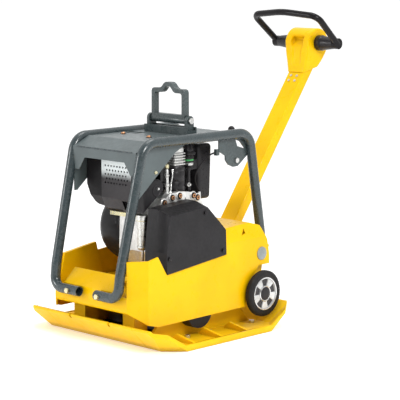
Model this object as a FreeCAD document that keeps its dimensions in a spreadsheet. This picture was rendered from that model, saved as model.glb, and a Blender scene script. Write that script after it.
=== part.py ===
"""Reversible plate compactor: a sprung diesel upper mass on a vibrating base plate.

Millimetres. The origin is the centre of the base plate's contact face, +Z is up, the front of the
machine faces -Y and the drawbar leans back towards +Y. The belt drive is on the +X side.
"""
import FreeCAD, Part
import math
import os
import re

import Sketcher
from FreeCAD import Placement, Rotation, Vector

SIZES = {
    # Base plate: a dished plate in three lengthwise pieces, the outer two bolted on.
    "plate_half_width": 350,
    "plate_half_length": 352,
    "plate_thick": 12,
    "plate_top": 84,
    "centre_half_width": 220,
    "fold_half_length": 276,
    "corner_reach": 562,
    "corner_wide": 344,
    "corner_long": 293,
    "lip_half_width": 299,
    "straight_half": 212,
    "rim_thick": 10,
    "rim_height": 22,
    "notch_place": 100,
    "notch_half": 5,
    "rib_root": 250,
    "rib_root_height": 38,
    "rib_end": 341,
    "rib_thick": 12,
    "rib_front": -165,
    "rib_middle": -30,
    "rib_rear": 100,
    "rail_inner": 186,
    "rail_outer": 200,
    "rail_height": 66,
    "rail_half_length": 255,
    # Posts and rubber mounts between the base plate and the upper body.
    "post_inner": 98,
    "post_outer": 157,
    "post_front_y": -280,
    "post_rear_y": 106,
    "post_depth": 62,
    "post_top": 112,
    "mount_radius": 29,
    "mount_top": 160,
    # Exciter: two geared shafts with half-moon weights.
    "exciter_half_width": 165,
    "exciter_half_length": 106,
    "exciter_top": 152,
    "exciter_wall": 10,
    "exciter_end_wall": 38,
    "shaft_z": 98,
    "shaft_offset": 46,
    "shaft_radius": 17.5,
    "bearing_radius": 32,
    "bearing_inset": 2,
    "weight_radius": 43.5,
    "weight_half_length": 55,
    "gear_teeth": 24,
    "gear_tip_radius": 48.8,
    "gear_root_radius": 42.2,
    "gear_width": 18,
    "gear_start": -98,
    "end_cover_radius": 42,
    "end_cover_thick": 9,
    # Belt drive.
    "belt_plane": 222,
    "belt_top_width": 17,
    "belt_depth": 11,
    "pulley_width": 30,
    "exciter_pulley_radius": 46,
    "clutch_radius": 60,
    "belt_fit": 0.4,
    "guard_radius": 60,
    "guard_inner_radius": 56,
    "guard_back": 200,
    "guard_face": 245,
    # Upper body: a deep open tray with a closed hood at the rear.
    "hull_half_width": 256,
    "hull_front": -342,
    "hull_front_half": 186,
    "hull_corner_y": -306,
    "left_corner_y": -280,
    "hull_rear": 301,
    "hull_wall": 6,
    "hull_low": 60,
    "floor_bottom": 160,
    "floor_top": 166,
    "floor_rear": 170,
    "hood_start": 69,
    "hood_top": 380,
    "slope_start": 325,
    "slope_inset": 20,
    "slope_end": 400,
    "front_bend": 190,
    "sill_half_width": 185.5,
    "panel_half_width": 138,
    "panel_rear": -290,
    "panel_top": 238,
    "panel_thick": 5,
    "belt_slot_front": -150,
    "belt_slot_rear": 62,
    "belt_slot_inner": 196,
    "right_bearer": 60,
    "left_bearer": -50,
    "bearer_width": 40,
    "engine_foot_z": 200,
    # Engine.
    "crank_y": -20,
    "crank_z": 362,
    "crank_radius": 17,
    "case_left": -58,
    "case_right": 118,
    "flange_right": 142,
    "flywheel_left": -190,
    "flywheel_right": -58,
    "housing_radius": 128,
    "flywheel_radius": 104,
    "cylinder_x": 84,
    "cylinder_y": -14,
    "cylinder_radius": 30,
    "fin_radius": 36,
    "cylinder_base": 494,
    "cylinder_top": 600,
    "cylinder_head_top": 644,
    "rocker_top": 664,
    "muffler_left": -155,
    "muffler_right": 34,
    "muffler_front": -215,
    "muffler_rear": -116,
    "muffler_low": 445,
    "muffler_high": 648,
    "guard_sheet_left": -66,
    "guard_sheet_right": 86,
    "guard_sheet_thick": 2,
    "filter_left": 84,
    "filter_right": 138,
    "filter_front": -212,
    "filter_rear": -119,
    "filter_low": 452,
    "filter_high": 565,
    "canister_x": 112,
    "canister_y": -196,
    "canister_radius": 20,
    "canister_low": 274,
    "tank_left": -112,
    "tank_right": 96,
    "tank_front": 95,
    "tank_rear": 168,
    "tank_low": 462,
    "tank_high": 662,
    "neck_x": 78,
    "neck_y": 60,
    "neck_radius": 18,
    "neck_low": 574,
    "neck_high": 640,
    "fuel_cap_radius": 20,
    "fuel_cap_top": 668,
    "dipstick_x": 118,
    "dipstick_y": -84,
    "dipstick_top": 612,
    "dipstick_radius": 2.5,
    "governor_y": 96,
    "governor_z": 452,
    "governor_x": 98,
    # Belt cover.
    "cover_inner": 152,
    "cover_face": 262,
    "cover_wall": 4,
    "cover_shoulder": 200,
    "cover_rise": 18,
    # Protective frame.
    "tube_radius": 17.5,
    "tube_bore": 14.9,
    "hoop_low_x": 166,
    "hoop_top_x": 178,
    "rail_z": 698,
    "hoop_foot_y": 357,
    "hoop_foot_z": 276,
    "curl_y": -363,
    "curl_z": 175,
    "sheet_thick": 3,
    "sheet_top": 700,
    "sheet_half_width": 161.5,
    "sheet_fold_y": -203,
    "sheet_rear": 232,
    "apron_y": -272,
    "apron_top": 668,
    "apron_low": 631,
    "apron_leg_low": 587,
    "apron_leg_inner": 134,
    # Lifting device.
    "lift_y": 49,
    "lift_half_depth": 11.5,
    "lift_half_width": 84,
    "lift_bar": 15,
    "lift_pin_z": 750,
    "lift_pin_radius": 7,
    "lift_eye_z": 861,
    "lift_hump": 884,
    "lift_base_half": 110,
    "lift_base_low": 714,
    "lift_ear_inner": 90,
    "lift_ear_outer": 102,
    "barrel_radius": 13,
    # Throttle.
    "throttle_x": 144,
    "throttle_y": 216,
    "throttle_z": 601,
    "throttle_knob_y": 217,
    "throttle_knob_z": 711,
    "knob_radius": 12.5,
    "cable_radius": 3,
    "cable_x": 160,
    # Drawbar.
    "pivot_y": 336,
    "pivot_z": 300,
    "pole_lean": 35.8,
    "pole_half_width": 38,
    "pole_half_depth": 20.5,
    "pole_wall": 4,
    "pole_foot": -14,
    "pole_top": 812,
    "pole_pin_radius": 10,
    "pole_pin_half": 58,
    "cheek_inner": 40,
    "cheek_outer": 48,
    "bracket_back": 307,
    "bracket_low": 238,
    "bracket_high": 334,
    "head_half_width": 60,
    "head_radius": 56,
    "head_shift": -36,
    "head_reach": 833,
    "head_low": 700,
    "handle_pin_radius": 14,
    "boss_inner": 62,
    "boss_outer": 138,
    "boss_big_radius": 30,
    "boss_small_radius": 21,
    "loop_tube_radius": 12.3,
    "loop_tube_bore": 9.8,
    "loop_lean": 50.2,
    "loop_arm": 168,
    "loop_bow": 190,
    "loop_root_half": 152,
    "loop_corner_half": 163,
    "loop_corner_radius": 36,
    "loop_bow_radius": 260,
    # Wheels.
    "wheel_y": 248,
    "wheel_z": 123,
    "wheel_inner": 259,
    "wheel_face": 288,
    "tyre_radius": 84,
    "rim_radius": 60,
    "axle_radius": 10,
    "hub_radius": 22,
    "running_fit": 0.05,
    "plug_y": 259,
    "plug_z": 266,
    "plug_radius": 24,
}

doc = FreeCAD.newDocument("plate_compactor")
sheet = doc.addObject("Spreadsheet::Sheet", "Sizes")
for row, (alias, number) in enumerate(SIZES.items(), start=1):
    sheet.set(f"A{row}", alias)
    sheet.set(f"B{row}", str(number))
    sheet.setAlias(f"B{row}", alias)
doc.recompute()

NODES = []
WORD = re.compile(r"[a-z][a-z0-9_]*")
AXIS_TURN = {
    "x": Rotation(Vector(0, 1, 0), 90),
    "y": Rotation(Vector(1, 0, 0), -90),
    "z": Rotation(),
}
FRAME_BOLT_PLACES = ("78", "-76")
HOOP_RADII = (40, 60, 62, 62)
FLANGE_BOLT_PLACES = (("-122", "480"), ("-83", "494"), ("-47", "497"), ("22", "491"), ("42", "482"))
COVER_SCREW_PLACES = (
    ("flange_right", "-38", "448"), ("flange_right", "52", "304"), ("cover_inner", "-212", "307.5"),
)
PLANE_ROLE = {"xy": "XY_Plane", "xz": "XZ_Plane", "yz": "YZ_Plane"}


# ---------------------------------------------------------------- helpers

def formula(text):
    """Turn sheet words in a formula into references to the sheet's cells."""
    return WORD.sub(lambda found: "Sizes." + found.group() if found.group() in SIZES
                    else found.group(), str(text))


def size(alias):
    """Read one driving dimension from the sheet."""
    return float(sheet.get(alias))


def node(piece, name):
    """Give a finished sub-part its own label and remember it for export."""
    piece.Label = name
    NODES.append(piece)
    return piece


def place(piece, at):
    """Bind a piece's position to three formulas."""
    for letter, text in zip("xyz", at):
        piece.setExpression(f"Placement.Base.{letter}", formula(text))
    return piece


def box(name, low, high):
    """A block between two corners, each given as three formulas."""
    piece = doc.addObject("Part::Box", name)
    for prop, start, end in zip(("Length", "Width", "Height"), low, high):
        piece.setExpression(prop, formula(f"({end}) - ({start})"))
    return place(piece, low)


def rod(name, axis, radius, start, length):
    """A cylinder from its start point along one axis."""
    piece = doc.addObject("Part::Cylinder", name)
    piece.Placement = Placement(Vector(), AXIS_TURN[axis])
    piece.setExpression("Radius", formula(radius))
    piece.setExpression("Height", formula(length))
    return place(piece, start)


def cone(name, axis, radius_start, radius_end, start, length):
    """A truncated cone from its start point along one axis."""
    piece = doc.addObject("Part::Cone", name)
    piece.Placement = Placement(Vector(), AXIS_TURN[axis])
    piece.setExpression("Radius1", formula(radius_start))
    piece.setExpression("Radius2", formula(radius_end))
    piece.setExpression("Height", formula(length))
    return place(piece, start)


def hexagon(name, axis, across, start, height):
    """A hexagonal bolt head from its seat along one axis."""
    piece = doc.addObject("Part::Prism", name)
    piece.Polygon = 6
    piece.Placement = Placement(Vector(), AXIS_TURN[axis])
    piece.setExpression("Circumradius", formula(f"({across}) / 1.732"))
    piece.setExpression("Height", formula(height))
    return place(piece, start)


def fuse(name, *pieces):
    """Join pieces into one solid."""
    piece = doc.addObject("Part::MultiFuse", name)
    piece.Shapes = list(pieces)
    piece.Refine = True
    return piece


def cut(name, base, *tools):
    """Take one or more tools away from a base."""
    piece = doc.addObject("Part::Cut", name)
    piece.Base = base
    piece.Tool = tools[0] if len(tools) == 1 else fuse(name + "_tools", *tools)
    piece.Refine = True
    return piece


def common(name, *pieces):
    """Keep what all the pieces share."""
    piece = doc.addObject("Part::MultiCommon", name)
    piece.Shapes = list(pieces)
    piece.Refine = True
    return piece


def group(name, pieces):
    """Keep identical separate solids together in one node."""
    piece = doc.addObject("Part::Compound", name)
    piece.Links = pieces
    return piece


def draw_outline(sketch, points):
    """Draw a closed outline whose corners are bound to formulas."""
    guess = [Vector(100 * math.cos(step), 100 * math.sin(step), 0)
             for step in (2 * math.pi * index / len(points) for index in range(len(points)))]
    count = len(points)
    for index in range(count):
        sketch.addGeometry(Part.LineSegment(guess[index], guess[(index + 1) % count]), False)
    for index in range(count):
        sketch.addConstraint(Sketcher.Constraint("Coincident", index, 2, (index + 1) % count, 1))
    for index, (across, along) in enumerate(points):
        for kind, text in (("DistanceX", across), ("DistanceY", along)):
            number = sketch.addConstraint(Sketcher.Constraint(kind, -1, 1, index, 1, 1.0))
            sketch.renameConstraint(number, f"{kind}{index}")
            sketch.setExpression(f"Constraints.{kind}{index}", formula(text))


def slab(name, plane, points, start, end):
    """A body padded from an outline: drawn on an origin plane, between two depths.

    The depths run along +X for the yz plane, -Y for the xz plane and +Z for the xy plane.
    """
    body = doc.addObject("PartDesign::Body", name)
    sketch = body.newObject("Sketcher::SketchObject", name + "_sketch")
    role = PLANE_ROLE[plane]
    origin_plane = next(item for item in body.Origin.OriginFeatures if item.Role == role)
    sketch.AttachmentSupport = [(origin_plane, "")]
    sketch.MapMode = "FlatFace"
    sketch.setExpression("AttachmentOffset.Base.z", formula(start))
    draw_outline(sketch, points)
    pad = body.newObject("PartDesign::Pad", name + "_pad")
    pad.Profile = sketch
    pad.setExpression("Length", formula(f"({end}) - ({start})"))
    body.Tip = pad
    return body


def turned(name, points, axis="x"):
    """A body turned about X or Z from an outline of (along the axis, radius) points."""
    body = doc.addObject("PartDesign::Body", name)
    sketch = body.newObject("Sketcher::SketchObject", name + "_sketch")
    origin_plane = next(item for item in body.Origin.OriginFeatures if item.Role == "XY_Plane")
    sketch.AttachmentSupport = [(origin_plane, "")]
    sketch.MapMode = "FlatFace"
    draw_outline(sketch, points)
    revolution = body.newObject("PartDesign::Revolution", name + "_turn")
    revolution.Profile = sketch
    revolution.ReferenceAxis = (sketch, ["H_Axis"])
    revolution.Angle = 360
    body.Tip = revolution
    if axis == "z":
        body.Placement = Placement(Vector(), Rotation(Vector(0, 1, 0), -90))
    return body


def rounded(name, source, radius, test):
    """Round the edges of a piece that pass a test, found after a recompute."""
    doc.recompute()
    piece = doc.addObject("Part::Fillet", name)
    piece.Base = source
    piece.Edges = [(number, radius, radius)
                   for number, edge in enumerate(source.Shape.Edges, start=1) if test(edge)]
    return piece


def along(axis):
    """A test for straight edges parallel to one axis."""
    direction = {"x": Vector(1, 0, 0), "y": Vector(0, 1, 0), "z": Vector(0, 0, 1)}[axis]

    def test(edge):
        if not isinstance(edge.Curve, Part.Line):
            return False
        return abs(abs(edge.tangentAt(edge.FirstParameter).dot(direction)) - 1) < 1e-6
    return test


def mirrored(name, source):
    """The same piece on the other side of the machine's middle plane."""
    piece = doc.addObject("Part::Mirroring", name)
    piece.Source = source
    piece.Normal = Vector(1, 0, 0)
    piece.Base = Vector(0, 0, 0)
    return piece


def run_path(points, radii):
    """A wire of straight runs joined by tangent arcs, one radius for each inner point."""
    corners = [Vector(*point) for point in points]
    edges = []
    start = corners[0]
    for index in range(1, len(corners) - 1):
        corner = corners[index]
        back = (corners[index - 1] - corner).normalize()
        ahead = (corners[index + 1] - corner).normalize()
        half_angle = back.getAngle(ahead) / 2
        reach = radii[index - 1] / math.tan(half_angle)
        arc_start = corner + back * reach
        arc_end = corner + ahead * reach
        bisector = (back + ahead).normalize()
        centre = corner + bisector * (radii[index - 1] / math.sin(half_angle))
        arc_middle = centre - bisector * radii[index - 1]
        edges.append(Part.LineSegment(start, arc_start).toShape())
        edges.append(Part.Arc(arc_start, arc_middle, arc_end).toShape())
        start = arc_end
    edges.append(Part.LineSegment(start, corners[-1]).toShape())
    return Part.Wire(edges)


def swept(path, radius):
    """A round solid along a wire."""
    start = path.Vertexes[0].Point
    direction = path.Edges[0].tangentAt(path.Edges[0].FirstParameter)
    ring = Part.Wire(Part.makeCircle(radius, start, direction))
    solid = path.makePipeShell([ring], True, False)
    return solid


def tube(name, points, radii, outer, bore=0):
    """A bent tube, or a bent bar where there is no bore."""
    path = run_path(points, radii)
    shape = swept(path, outer)
    if bore:
        shape = shape.cut(swept(path, bore))
    piece = doc.addObject("Part::Feature", name)
    piece.Shape = shape
    return piece


def both_sides(points):
    """Mirror a half outline of (across, along) formulas to the negative side."""
    return points + [(f"-({across})", height) for across, height in reversed(points)]


# ---------------------------------------------------------------- base plate

def dish(name, inset, low, side):
    """An eight-sided dish that opens upwards at 45 degrees at its ends and corners."""
    rings = []
    for level in (low, "plate_top + 16"):
        half_long = f"(fold_half_length + ({level}) - 1.41421 * ({inset}))"
        reach = f"(corner_reach + 1.41421 * ({level}) - 2 * ({inset}))"
        half = [
            (side, f"{reach} - ({side})"),
            (f"{reach} - {half_long}", half_long),
            (f"-({reach} - {half_long})", half_long),
            (f"-({side})", f"{reach} - ({side})"),
        ]
        points = half + [(across, f"-({reach_y})") for across, reach_y in reversed(half)]
        ring = doc.addObject("Sketcher::SketchObject", f"{name}_ring{len(rings)}")
        draw_outline(ring, points)
        ring.setExpression("Placement.Base.z", formula(level))
        rings.append(ring)
    loft = doc.addObject("Part::Loft", name)
    loft.Sections = rings
    loft.Solid = True
    loft.Ruled = True
    return loft


def plate_blank(name):
    """The whole dished plate, before it is split into its centre and two extensions."""
    outer = dish(name + "_outer", "0", "0", "plate_half_width")
    inner = dish(name + "_inner", "plate_thick", "plate_thick", "plate_half_width - rim_thick")
    half = [
        ("plate_half_width", "-straight_half"),
        ("plate_half_width", "straight_half"),
        ("corner_wide", "corner_long"),
        ("lip_half_width", "plate_half_length"),
    ]
    near = half[1:]
    points = near + [(f"-{across}", reach) for across, reach in reversed(near)]
    points += [(f"-{across}", f"-{reach}") for across, reach in near]
    points += [(across, f"-{reach}") for across, reach in reversed(near)]
    outline = slab(name + "_outline", "xy", points, "0", "plate_top")
    shell = cut(name + "_shell", common(name + "_bounds", outer, outline), inner)
    trims = []
    for side, start, end in (("right", "plate_half_width - 19", "plate_half_width + 5"),
                             ("left", "-plate_half_width - 5", "19 - plate_half_width")):
        trims.append(slab(f"{name}_trim_{side}", "yz", [
            ("straight_half + 6", "rim_height"),
            ("straight_half + 110", "plate_top"),
            ("straight_half + 110", "plate_top + 30"),
            ("-straight_half - 110", "plate_top + 30"),
            ("-straight_half - 110", "plate_top"),
            ("-straight_half - 6", "rim_height"),
        ], start, end))
    return cut(name, shell, *trims)


def lip_notches():
    """Small drain notches in the front and rear lips."""
    notches = []
    for sign_x in ("", "-"):
        for side, low, high in (("front", "-plate_half_length - 5", "-plate_half_length + 16"),
                                ("rear", "plate_half_length - 16", "plate_half_length + 5")):
            centre = f"({sign_x}notch_place)"
            notches.append(box(f"notch_{side}{len(notches)}",
                               (f"{centre} - notch_half", low, "plate_top - 16"),
                               (f"{centre} + notch_half", high, "plate_top + 10")))
    return notches


def base_plate(blank):
    """Centre plate with its two inner rails and the four mount posts."""
    middle = box("centre_bounds", ("-centre_half_width", "-plate_half_length - 5", "-1"),
                 ("centre_half_width", "plate_half_length + 5", "plate_top + 5"))
    plate = cut("centre_plate", common("centre_piece", blank, middle), *lip_notches())
    rails = []
    for name, low, high in (("right", "rail_inner", "rail_outer"),
                            ("left", "-rail_outer", "-rail_inner")):
        rails.append(slab(f"rail_{name}", "yz", [
            ("-rail_half_length", "plate_thick - 1"),
            ("rail_half_length", "plate_thick - 1"),
            ("rail_half_length - 48", "rail_height"),
            ("-rail_half_length + 48", "rail_height"),
        ], low, high))
    posts = []
    for side in ("", "-"):
        for end in ("front", "rear"):
            low_y = f"post_{end}_y"
            inner = "post_inner" if not side else "-post_outer"
            outer = "post_outer" if not side else "-post_inner"
            block = box(f"post_{end}{len(posts)}", (inner, low_y, "plate_thick - 1"),
                        (outer, f"{low_y} + post_depth", "post_top"))
            hollow = box(f"post_{end}{len(posts)}_hollow",
                         (f"{inner} + 7", f"{low_y} + 7", "plate_thick"),
                         (f"{outer} - 7", f"{low_y} + post_depth + 1", "post_top - 9"))
            posts.append(cut(f"post_{end}{len(posts)}_shell", block, hollow))
    return node(fuse("base_plate", plate, *rails, *posts), "base_plate")


def extension_plates(blank):
    """The two bolted-on side extensions with three ribs each."""
    pieces = []
    bounds = box("extension_bounds", ("centre_half_width", "-plate_half_length - 5", "-1"),
                 ("plate_half_width + 5", "plate_half_length + 5", "plate_top + 5"))
    plate = common("extension_piece", blank, bounds)
    ribs = []
    for place_name in ("front", "middle", "rear"):
        centre = f"rib_{place_name}"
        ribs.append(slab(f"rib_{place_name}_body", "xz", [
            ("rib_root - 24", "plate_thick - 1"),
            ("rib_end", "plate_thick - 1"),
            ("rib_end", "rim_height - 1"),
            ("rib_root", "rib_root_height"),
            ("rib_root - 24", "plate_thick + 6"),
        ], f"-({centre}) - rib_thick / 2", f"-({centre}) + rib_thick / 2"))
    right = fuse("extension_plate_right", plate, *ribs)
    pieces.append(node(right, "extension_plate_right"))
    pieces.append(node(mirrored("extension_plate_left", right), "extension_plate_left"))
    return pieces


def extension_bolts():
    """Hexagon bolts beside the seams between the plates."""
    heads = []
    for side in (-1, 1):
        for step in range(-2, 3):
            name = f"extension_bolt{len(heads)}"
            heads.append(hexagon(name, "z", "19", (f"{side} * (centre_half_width + 13)",
                                                   f"{step} * 110 + 12", "plate_thick"), "8"))
    return heads


def rubber_mounts():
    """Four bonded rubber buffers between the posts and the upper body's floor."""
    mounts = []
    for side in (-1, 1):
        for end in ("front", "rear"):
            name = f"rubber_{end}{len(mounts)}"
            centre = (f"{side} * (post_inner + post_outer) / 2", f"post_{end}_y + post_depth / 2")
            waist = turned(name, [
                ("0", "0"),
                ("0", "mount_radius"),
                ("7", "mount_radius"),
                ("mount_top / 2 - post_top / 2", "mount_radius - 6"),
                ("mount_top - post_top - 7", "mount_radius"),
                ("mount_top - post_top", "mount_radius"),
                ("mount_top - post_top", "0"),
            ], "z")
            mounts.append(place(waist, (*centre, "post_top")))
    return node(group("rubber_mounts", mounts), "rubber_mounts")


# ---------------------------------------------------------------- exciter

def shaft_y(end):
    """The Y place of the front or rear exciter shaft, as a formula."""
    return "-shaft_offset" if end == "front" else "shaft_offset"


def exciter_housing():
    """Cast box around the eccentric shafts, bored for four bearings."""
    block = box("exciter_block", ("-exciter_half_width", "-exciter_half_length", "plate_thick"),
                ("exciter_half_width", "exciter_half_length", "exciter_top"))
    soft = rounded("exciter_soft", block, 16, lambda edge: along("x")(edge)
                   and edge.BoundBox.ZMax > size("exciter_top") - 1)
    cavity = box("exciter_cavity",
                 ("-exciter_half_width + exciter_end_wall",
                  "-exciter_half_length + exciter_wall / 2", "plate_thick + exciter_wall"),
                 ("exciter_half_width - exciter_end_wall",
                  "exciter_half_length - exciter_wall / 2", "exciter_top - exciter_wall / 2"))
    bores = [rod(f"exciter_bore_{end}", "x", "bearing_radius",
                 ("-exciter_half_width - 1", shaft_y(end), "shaft_z"),
                 "2 * exciter_half_width + 2") for end in ("front", "rear")]
    return node(cut("exciter_housing", soft, cavity, *bores), "exciter_housing")


def exciter_bearings():
    """Two roller bearings on each eccentric shaft."""
    rings = []
    for end in ("front", "rear"):
        for side, start in (("left", "-exciter_half_width + bearing_inset"),
                            ("right", "exciter_half_width - bearing_inset - 26")):
            name = f"bearing_{end}_{side}"
            ring = rod(name, "x", "bearing_radius", (start, shaft_y(end), "shaft_z"), "26")
            hole = rod(name + "_bore", "x", "shaft_radius + running_fit",
                       (f"({start}) - 1", shaft_y(end), "shaft_z"), "28")
            rings.append(cut(name + "_ring", ring, hole))
    return node(group("exciter_bearings", rings), "exciter_bearings")


def exciter_end_covers():
    """Round bolted covers that close the bearing bores."""
    covers = []
    for end in ("front", "rear"):
        for side in (-1, 1):
            name = f"end_cover_{end}{len(covers)}"
            start = "exciter_half_width" if side > 0 else "-exciter_half_width - end_cover_thick"
            disc = rod(name, "x", "end_cover_radius", (start, shaft_y(end), "shaft_z"),
                       "end_cover_thick")
            hole = rod(name + "_hole", "x", "shaft_radius + 1.5",
                       (f"({start}) - 1", shaft_y(end), "shaft_z"), "end_cover_thick + 2")
            covers.append(cut(name + "_ring", disc, hole))
    return node(group("exciter_end_covers", covers), "exciter_end_covers")


def eccentric_shaft(end):
    """A shaft cast with its half-moon weight, which hangs down at rest.

    The front shaft is longer and carries the belt pulley.
    """
    name = f"eccentric_shaft_{end}"
    line = (shaft_y(end), "shaft_z")
    start = "-exciter_half_width - end_cover_thick"
    stop = "belt_plane + pulley_width / 2" if end == "front" else "exciter_half_width + 8"
    shaft = rod(name + "_rod", "x", "shaft_radius", (start, *line), f"({stop}) - ({start})")
    weight_start = ("-weight_half_length", *line)
    drum = rod(name + "_drum", "x", "weight_radius", weight_start, "2 * weight_half_length")
    collar = rod(name + "_collar", "x", "shaft_radius + 6", weight_start, "2 * weight_half_length")
    lower = box(name + "_lower", ("-weight_half_length - 1", f"{shaft_y(end)} - weight_radius - 1",
                                  "shaft_z - weight_radius - 1"),
                ("weight_half_length + 1", f"{shaft_y(end)} + weight_radius + 1", "shaft_z"))
    return node(fuse(name, shaft, common(name + "_weight", drum, lower), collar), name)


def timing_gear(end):
    """A spur gear; the two mesh at the middle plane, a tooth of one in a gap of the other."""
    teeth = int(size("gear_teeth"))
    tip = size("gear_tip_radius")
    root = size("gear_root_radius")
    pitch_angle = 2 * math.pi / teeth
    shift = 0.5 if end == "front" else 0.0
    outline = []
    for tooth in range(teeth):
        for radius, offset in ((root, -0.29), (tip, -0.13), (tip, 0.13), (root, 0.29)):
            angle = (tooth + shift + offset) * pitch_angle
            outline.append(Vector(0, radius * math.cos(angle), radius * math.sin(angle)))
    outline.append(outline[0])
    blank = Part.Face(Part.makePolygon(outline)).extrude(Vector(size("gear_width"), 0, 0))
    bore = Part.makeCylinder(size("shaft_radius"), size("gear_width") + 2, Vector(-1, 0, 0),
                             Vector(1, 0, 0))
    gear = doc.addObject("Part::Feature", f"timing_gear_{end}")
    gear.Shape = blank.cut(bore)
    place(gear, ("gear_start", shaft_y(end), "shaft_z"))
    return node(gear, f"timing_gear_{end}")


# ---------------------------------------------------------------- belt drive

def pulley(name, radius, hub_start, bore):
    """A grooved pulley with a hub, turned about X."""
    half = "pulley_width / 2"
    groove = "belt_top_width / 2 + belt_fit"
    return turned(name, [
        (f"({hub_start}) - belt_plane", bore),
        (half, bore),
        (half, f"{radius} + 4"),
        (f"{groove} + 1.5", f"{radius} + 4"),
        (groove, radius),
        (f"{groove} - 3.4", f"{radius} - belt_depth - belt_fit"),
        (f"-({groove} - 3.4)", f"{radius} - belt_depth - belt_fit"),
        (f"-({groove})", radius),
        (f"-({groove} + 1.5)", f"{radius} + 4"),
        (f"-{half}", f"{radius} + 4"),
        (f"-{half}", "shaft_radius + 12"),
        (f"({hub_start}) - belt_plane", "shaft_radius + 12"),
    ])


def exciter_pulley():
    """Driven pulley on the front eccentric shaft."""
    wheel = pulley("exciter_pulley", "exciter_pulley_radius", "belt_plane - 24", "shaft_radius")
    return node(place(wheel, ("belt_plane", "-shaft_offset", "shaft_z")), "exciter_pulley")


def clutch_pulley():
    """Centrifugal clutch drum with the driving pulley on the engine's crankshaft."""
    wheel = pulley("clutch_wheel", "clutch_radius", "belt_plane - 56", "crank_radius")
    place(wheel, ("belt_plane", "crank_y", "crank_z"))
    drum = rod("clutch_drum_outer", "x", "clutch_radius - 6",
               ("belt_plane - 56", "crank_y", "crank_z"), "38")
    hollow = rod("clutch_drum_bore", "x", "clutch_radius - 11",
                 ("belt_plane - 57", "crank_y", "crank_z"), "35")
    shoes = rod("clutch_shoes", "x", "clutch_radius - 14",
                ("belt_plane - 54", "crank_y", "crank_z"), "26")
    bore = rod("clutch_bore", "x", "crank_radius",
               ("belt_plane - 60", "crank_y", "crank_z"), "90")
    drum_shell = cut("clutch_drum", drum, hollow)
    solid = fuse("clutch_solid", wheel, drum_shell, shoes)
    return node(cut("clutch_pulley", solid, bore), "clutch_pulley")


def drive_belt():
    """A closed V-belt on the common tangents of the two pulleys."""
    low = Vector(0, -size("shaft_offset"), size("shaft_z"))
    high = Vector(0, size("crank_y"), size("crank_z"))
    small = size("exciter_pulley_radius") - size("belt_depth") / 2
    large = size("clutch_radius") - size("belt_depth") / 2
    line = high - low
    lean = math.atan2(line.y, line.z)
    spread = math.asin((large - small) / line.Length)

    def on_circle(centre, radius, angle):
        return centre + Vector(0, radius * math.sin(angle), radius * math.cos(angle))

    rear = lean + math.pi / 2 - spread
    front = lean - math.pi / 2 + spread
    half_depth = size("belt_depth") / 2 - 0.1
    wide = size("belt_top_width") / 2 - 0.3
    narrow = wide - 3.4

    def section(centre, radius, angle):
        outward = Vector(0, math.sin(angle), math.cos(angle))
        corners = [on_circle(centre, radius, angle) + outward * depth + Vector(across, 0, 0)
                   for depth, across in ((half_depth, wide), (half_depth, -wide),
                                         (-half_depth, -narrow), (-half_depth, narrow))]
        return Part.Face(Part.makePolygon(corners + corners[:1]))

    runs = []
    for angle in (rear, front):
        along_run = on_circle(high, large, angle) - on_circle(low, small, angle)
        runs.append(section(low, small, angle).extrude(along_run))
    over = section(high, large, rear).revolve(high, Vector(1, 0, 0),
                                              math.degrees(math.pi - 2 * spread))
    under = section(low, small, front).revolve(low, Vector(1, 0, 0),
                                               math.degrees(math.pi + 2 * spread))
    belt = doc.addObject("Part::Feature", "drive_belt")
    belt.Shape = runs[0].fuse([runs[1], over, under]).removeSplitter()
    place(belt, ("belt_plane", "0", "0"))
    return node(belt, "drive_belt")


def belt_guard():
    """Cup around the driven pulley, open above where the belt enters."""
    centre = ("-shaft_offset", "shaft_z")
    cup = rod("guard_cup", "x", "guard_radius", ("guard_back", *centre), "guard_face - guard_back")
    hollow = rod("guard_hollow", "x", "guard_inner_radius", ("guard_back - 1", *centre),
                 "guard_face - guard_back - 3")
    upper = box("guard_open", ("guard_back - 1", "-shaft_offset - guard_radius - 1", "shaft_z + 4"),
                ("guard_face - 4", "-shaft_offset + guard_radius + 1", "shaft_z + guard_radius"))
    spokes = []
    for side, low, high in (("front", ("-exciter_half_length", "shaft_z - 20"),
                             ("-exciter_half_length + 8", "shaft_z + 2")),
                            ("rear", ("-4", "shaft_z - 31"), ("9", "shaft_z - 23"))):
        spokes.append(box(f"guard_arm_{side}", ("exciter_half_width", *low),
                          ("guard_back + 6", *high)))
    arms = cut("guard_arms", fuse("guard_arm_pair", *spokes),
               rod("guard_arm_clear", "x", "guard_inner_radius",
                   ("exciter_half_width - 1", *centre), "60"))
    return node(fuse("belt_guard", cut("guard_shell", cup, hollow, upper), arms), "belt_guard")


# ---------------------------------------------------------------- upper body

def hull_side_points():
    """The side outline of the upper body: skirt, wheel arch, rear hood and front corner."""
    return [
        ("hull_front", "128"), ("hull_corner_y", "90"), ("-261", "78"), ("172", "82"),
        ("183", "121"), ("192", "169"), ("211", "193"), ("234", "209"), ("245", "224"),
        ("hull_rear", "224"), ("hull_rear - 1", "263"), ("290", "313"), ("260", "368"),
        ("208", "383"), ("hood_start", "hood_top - 4"), ("hood_start", "320"),
        ("-260", "320"), ("hull_front", "304"),
    ]


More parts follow.
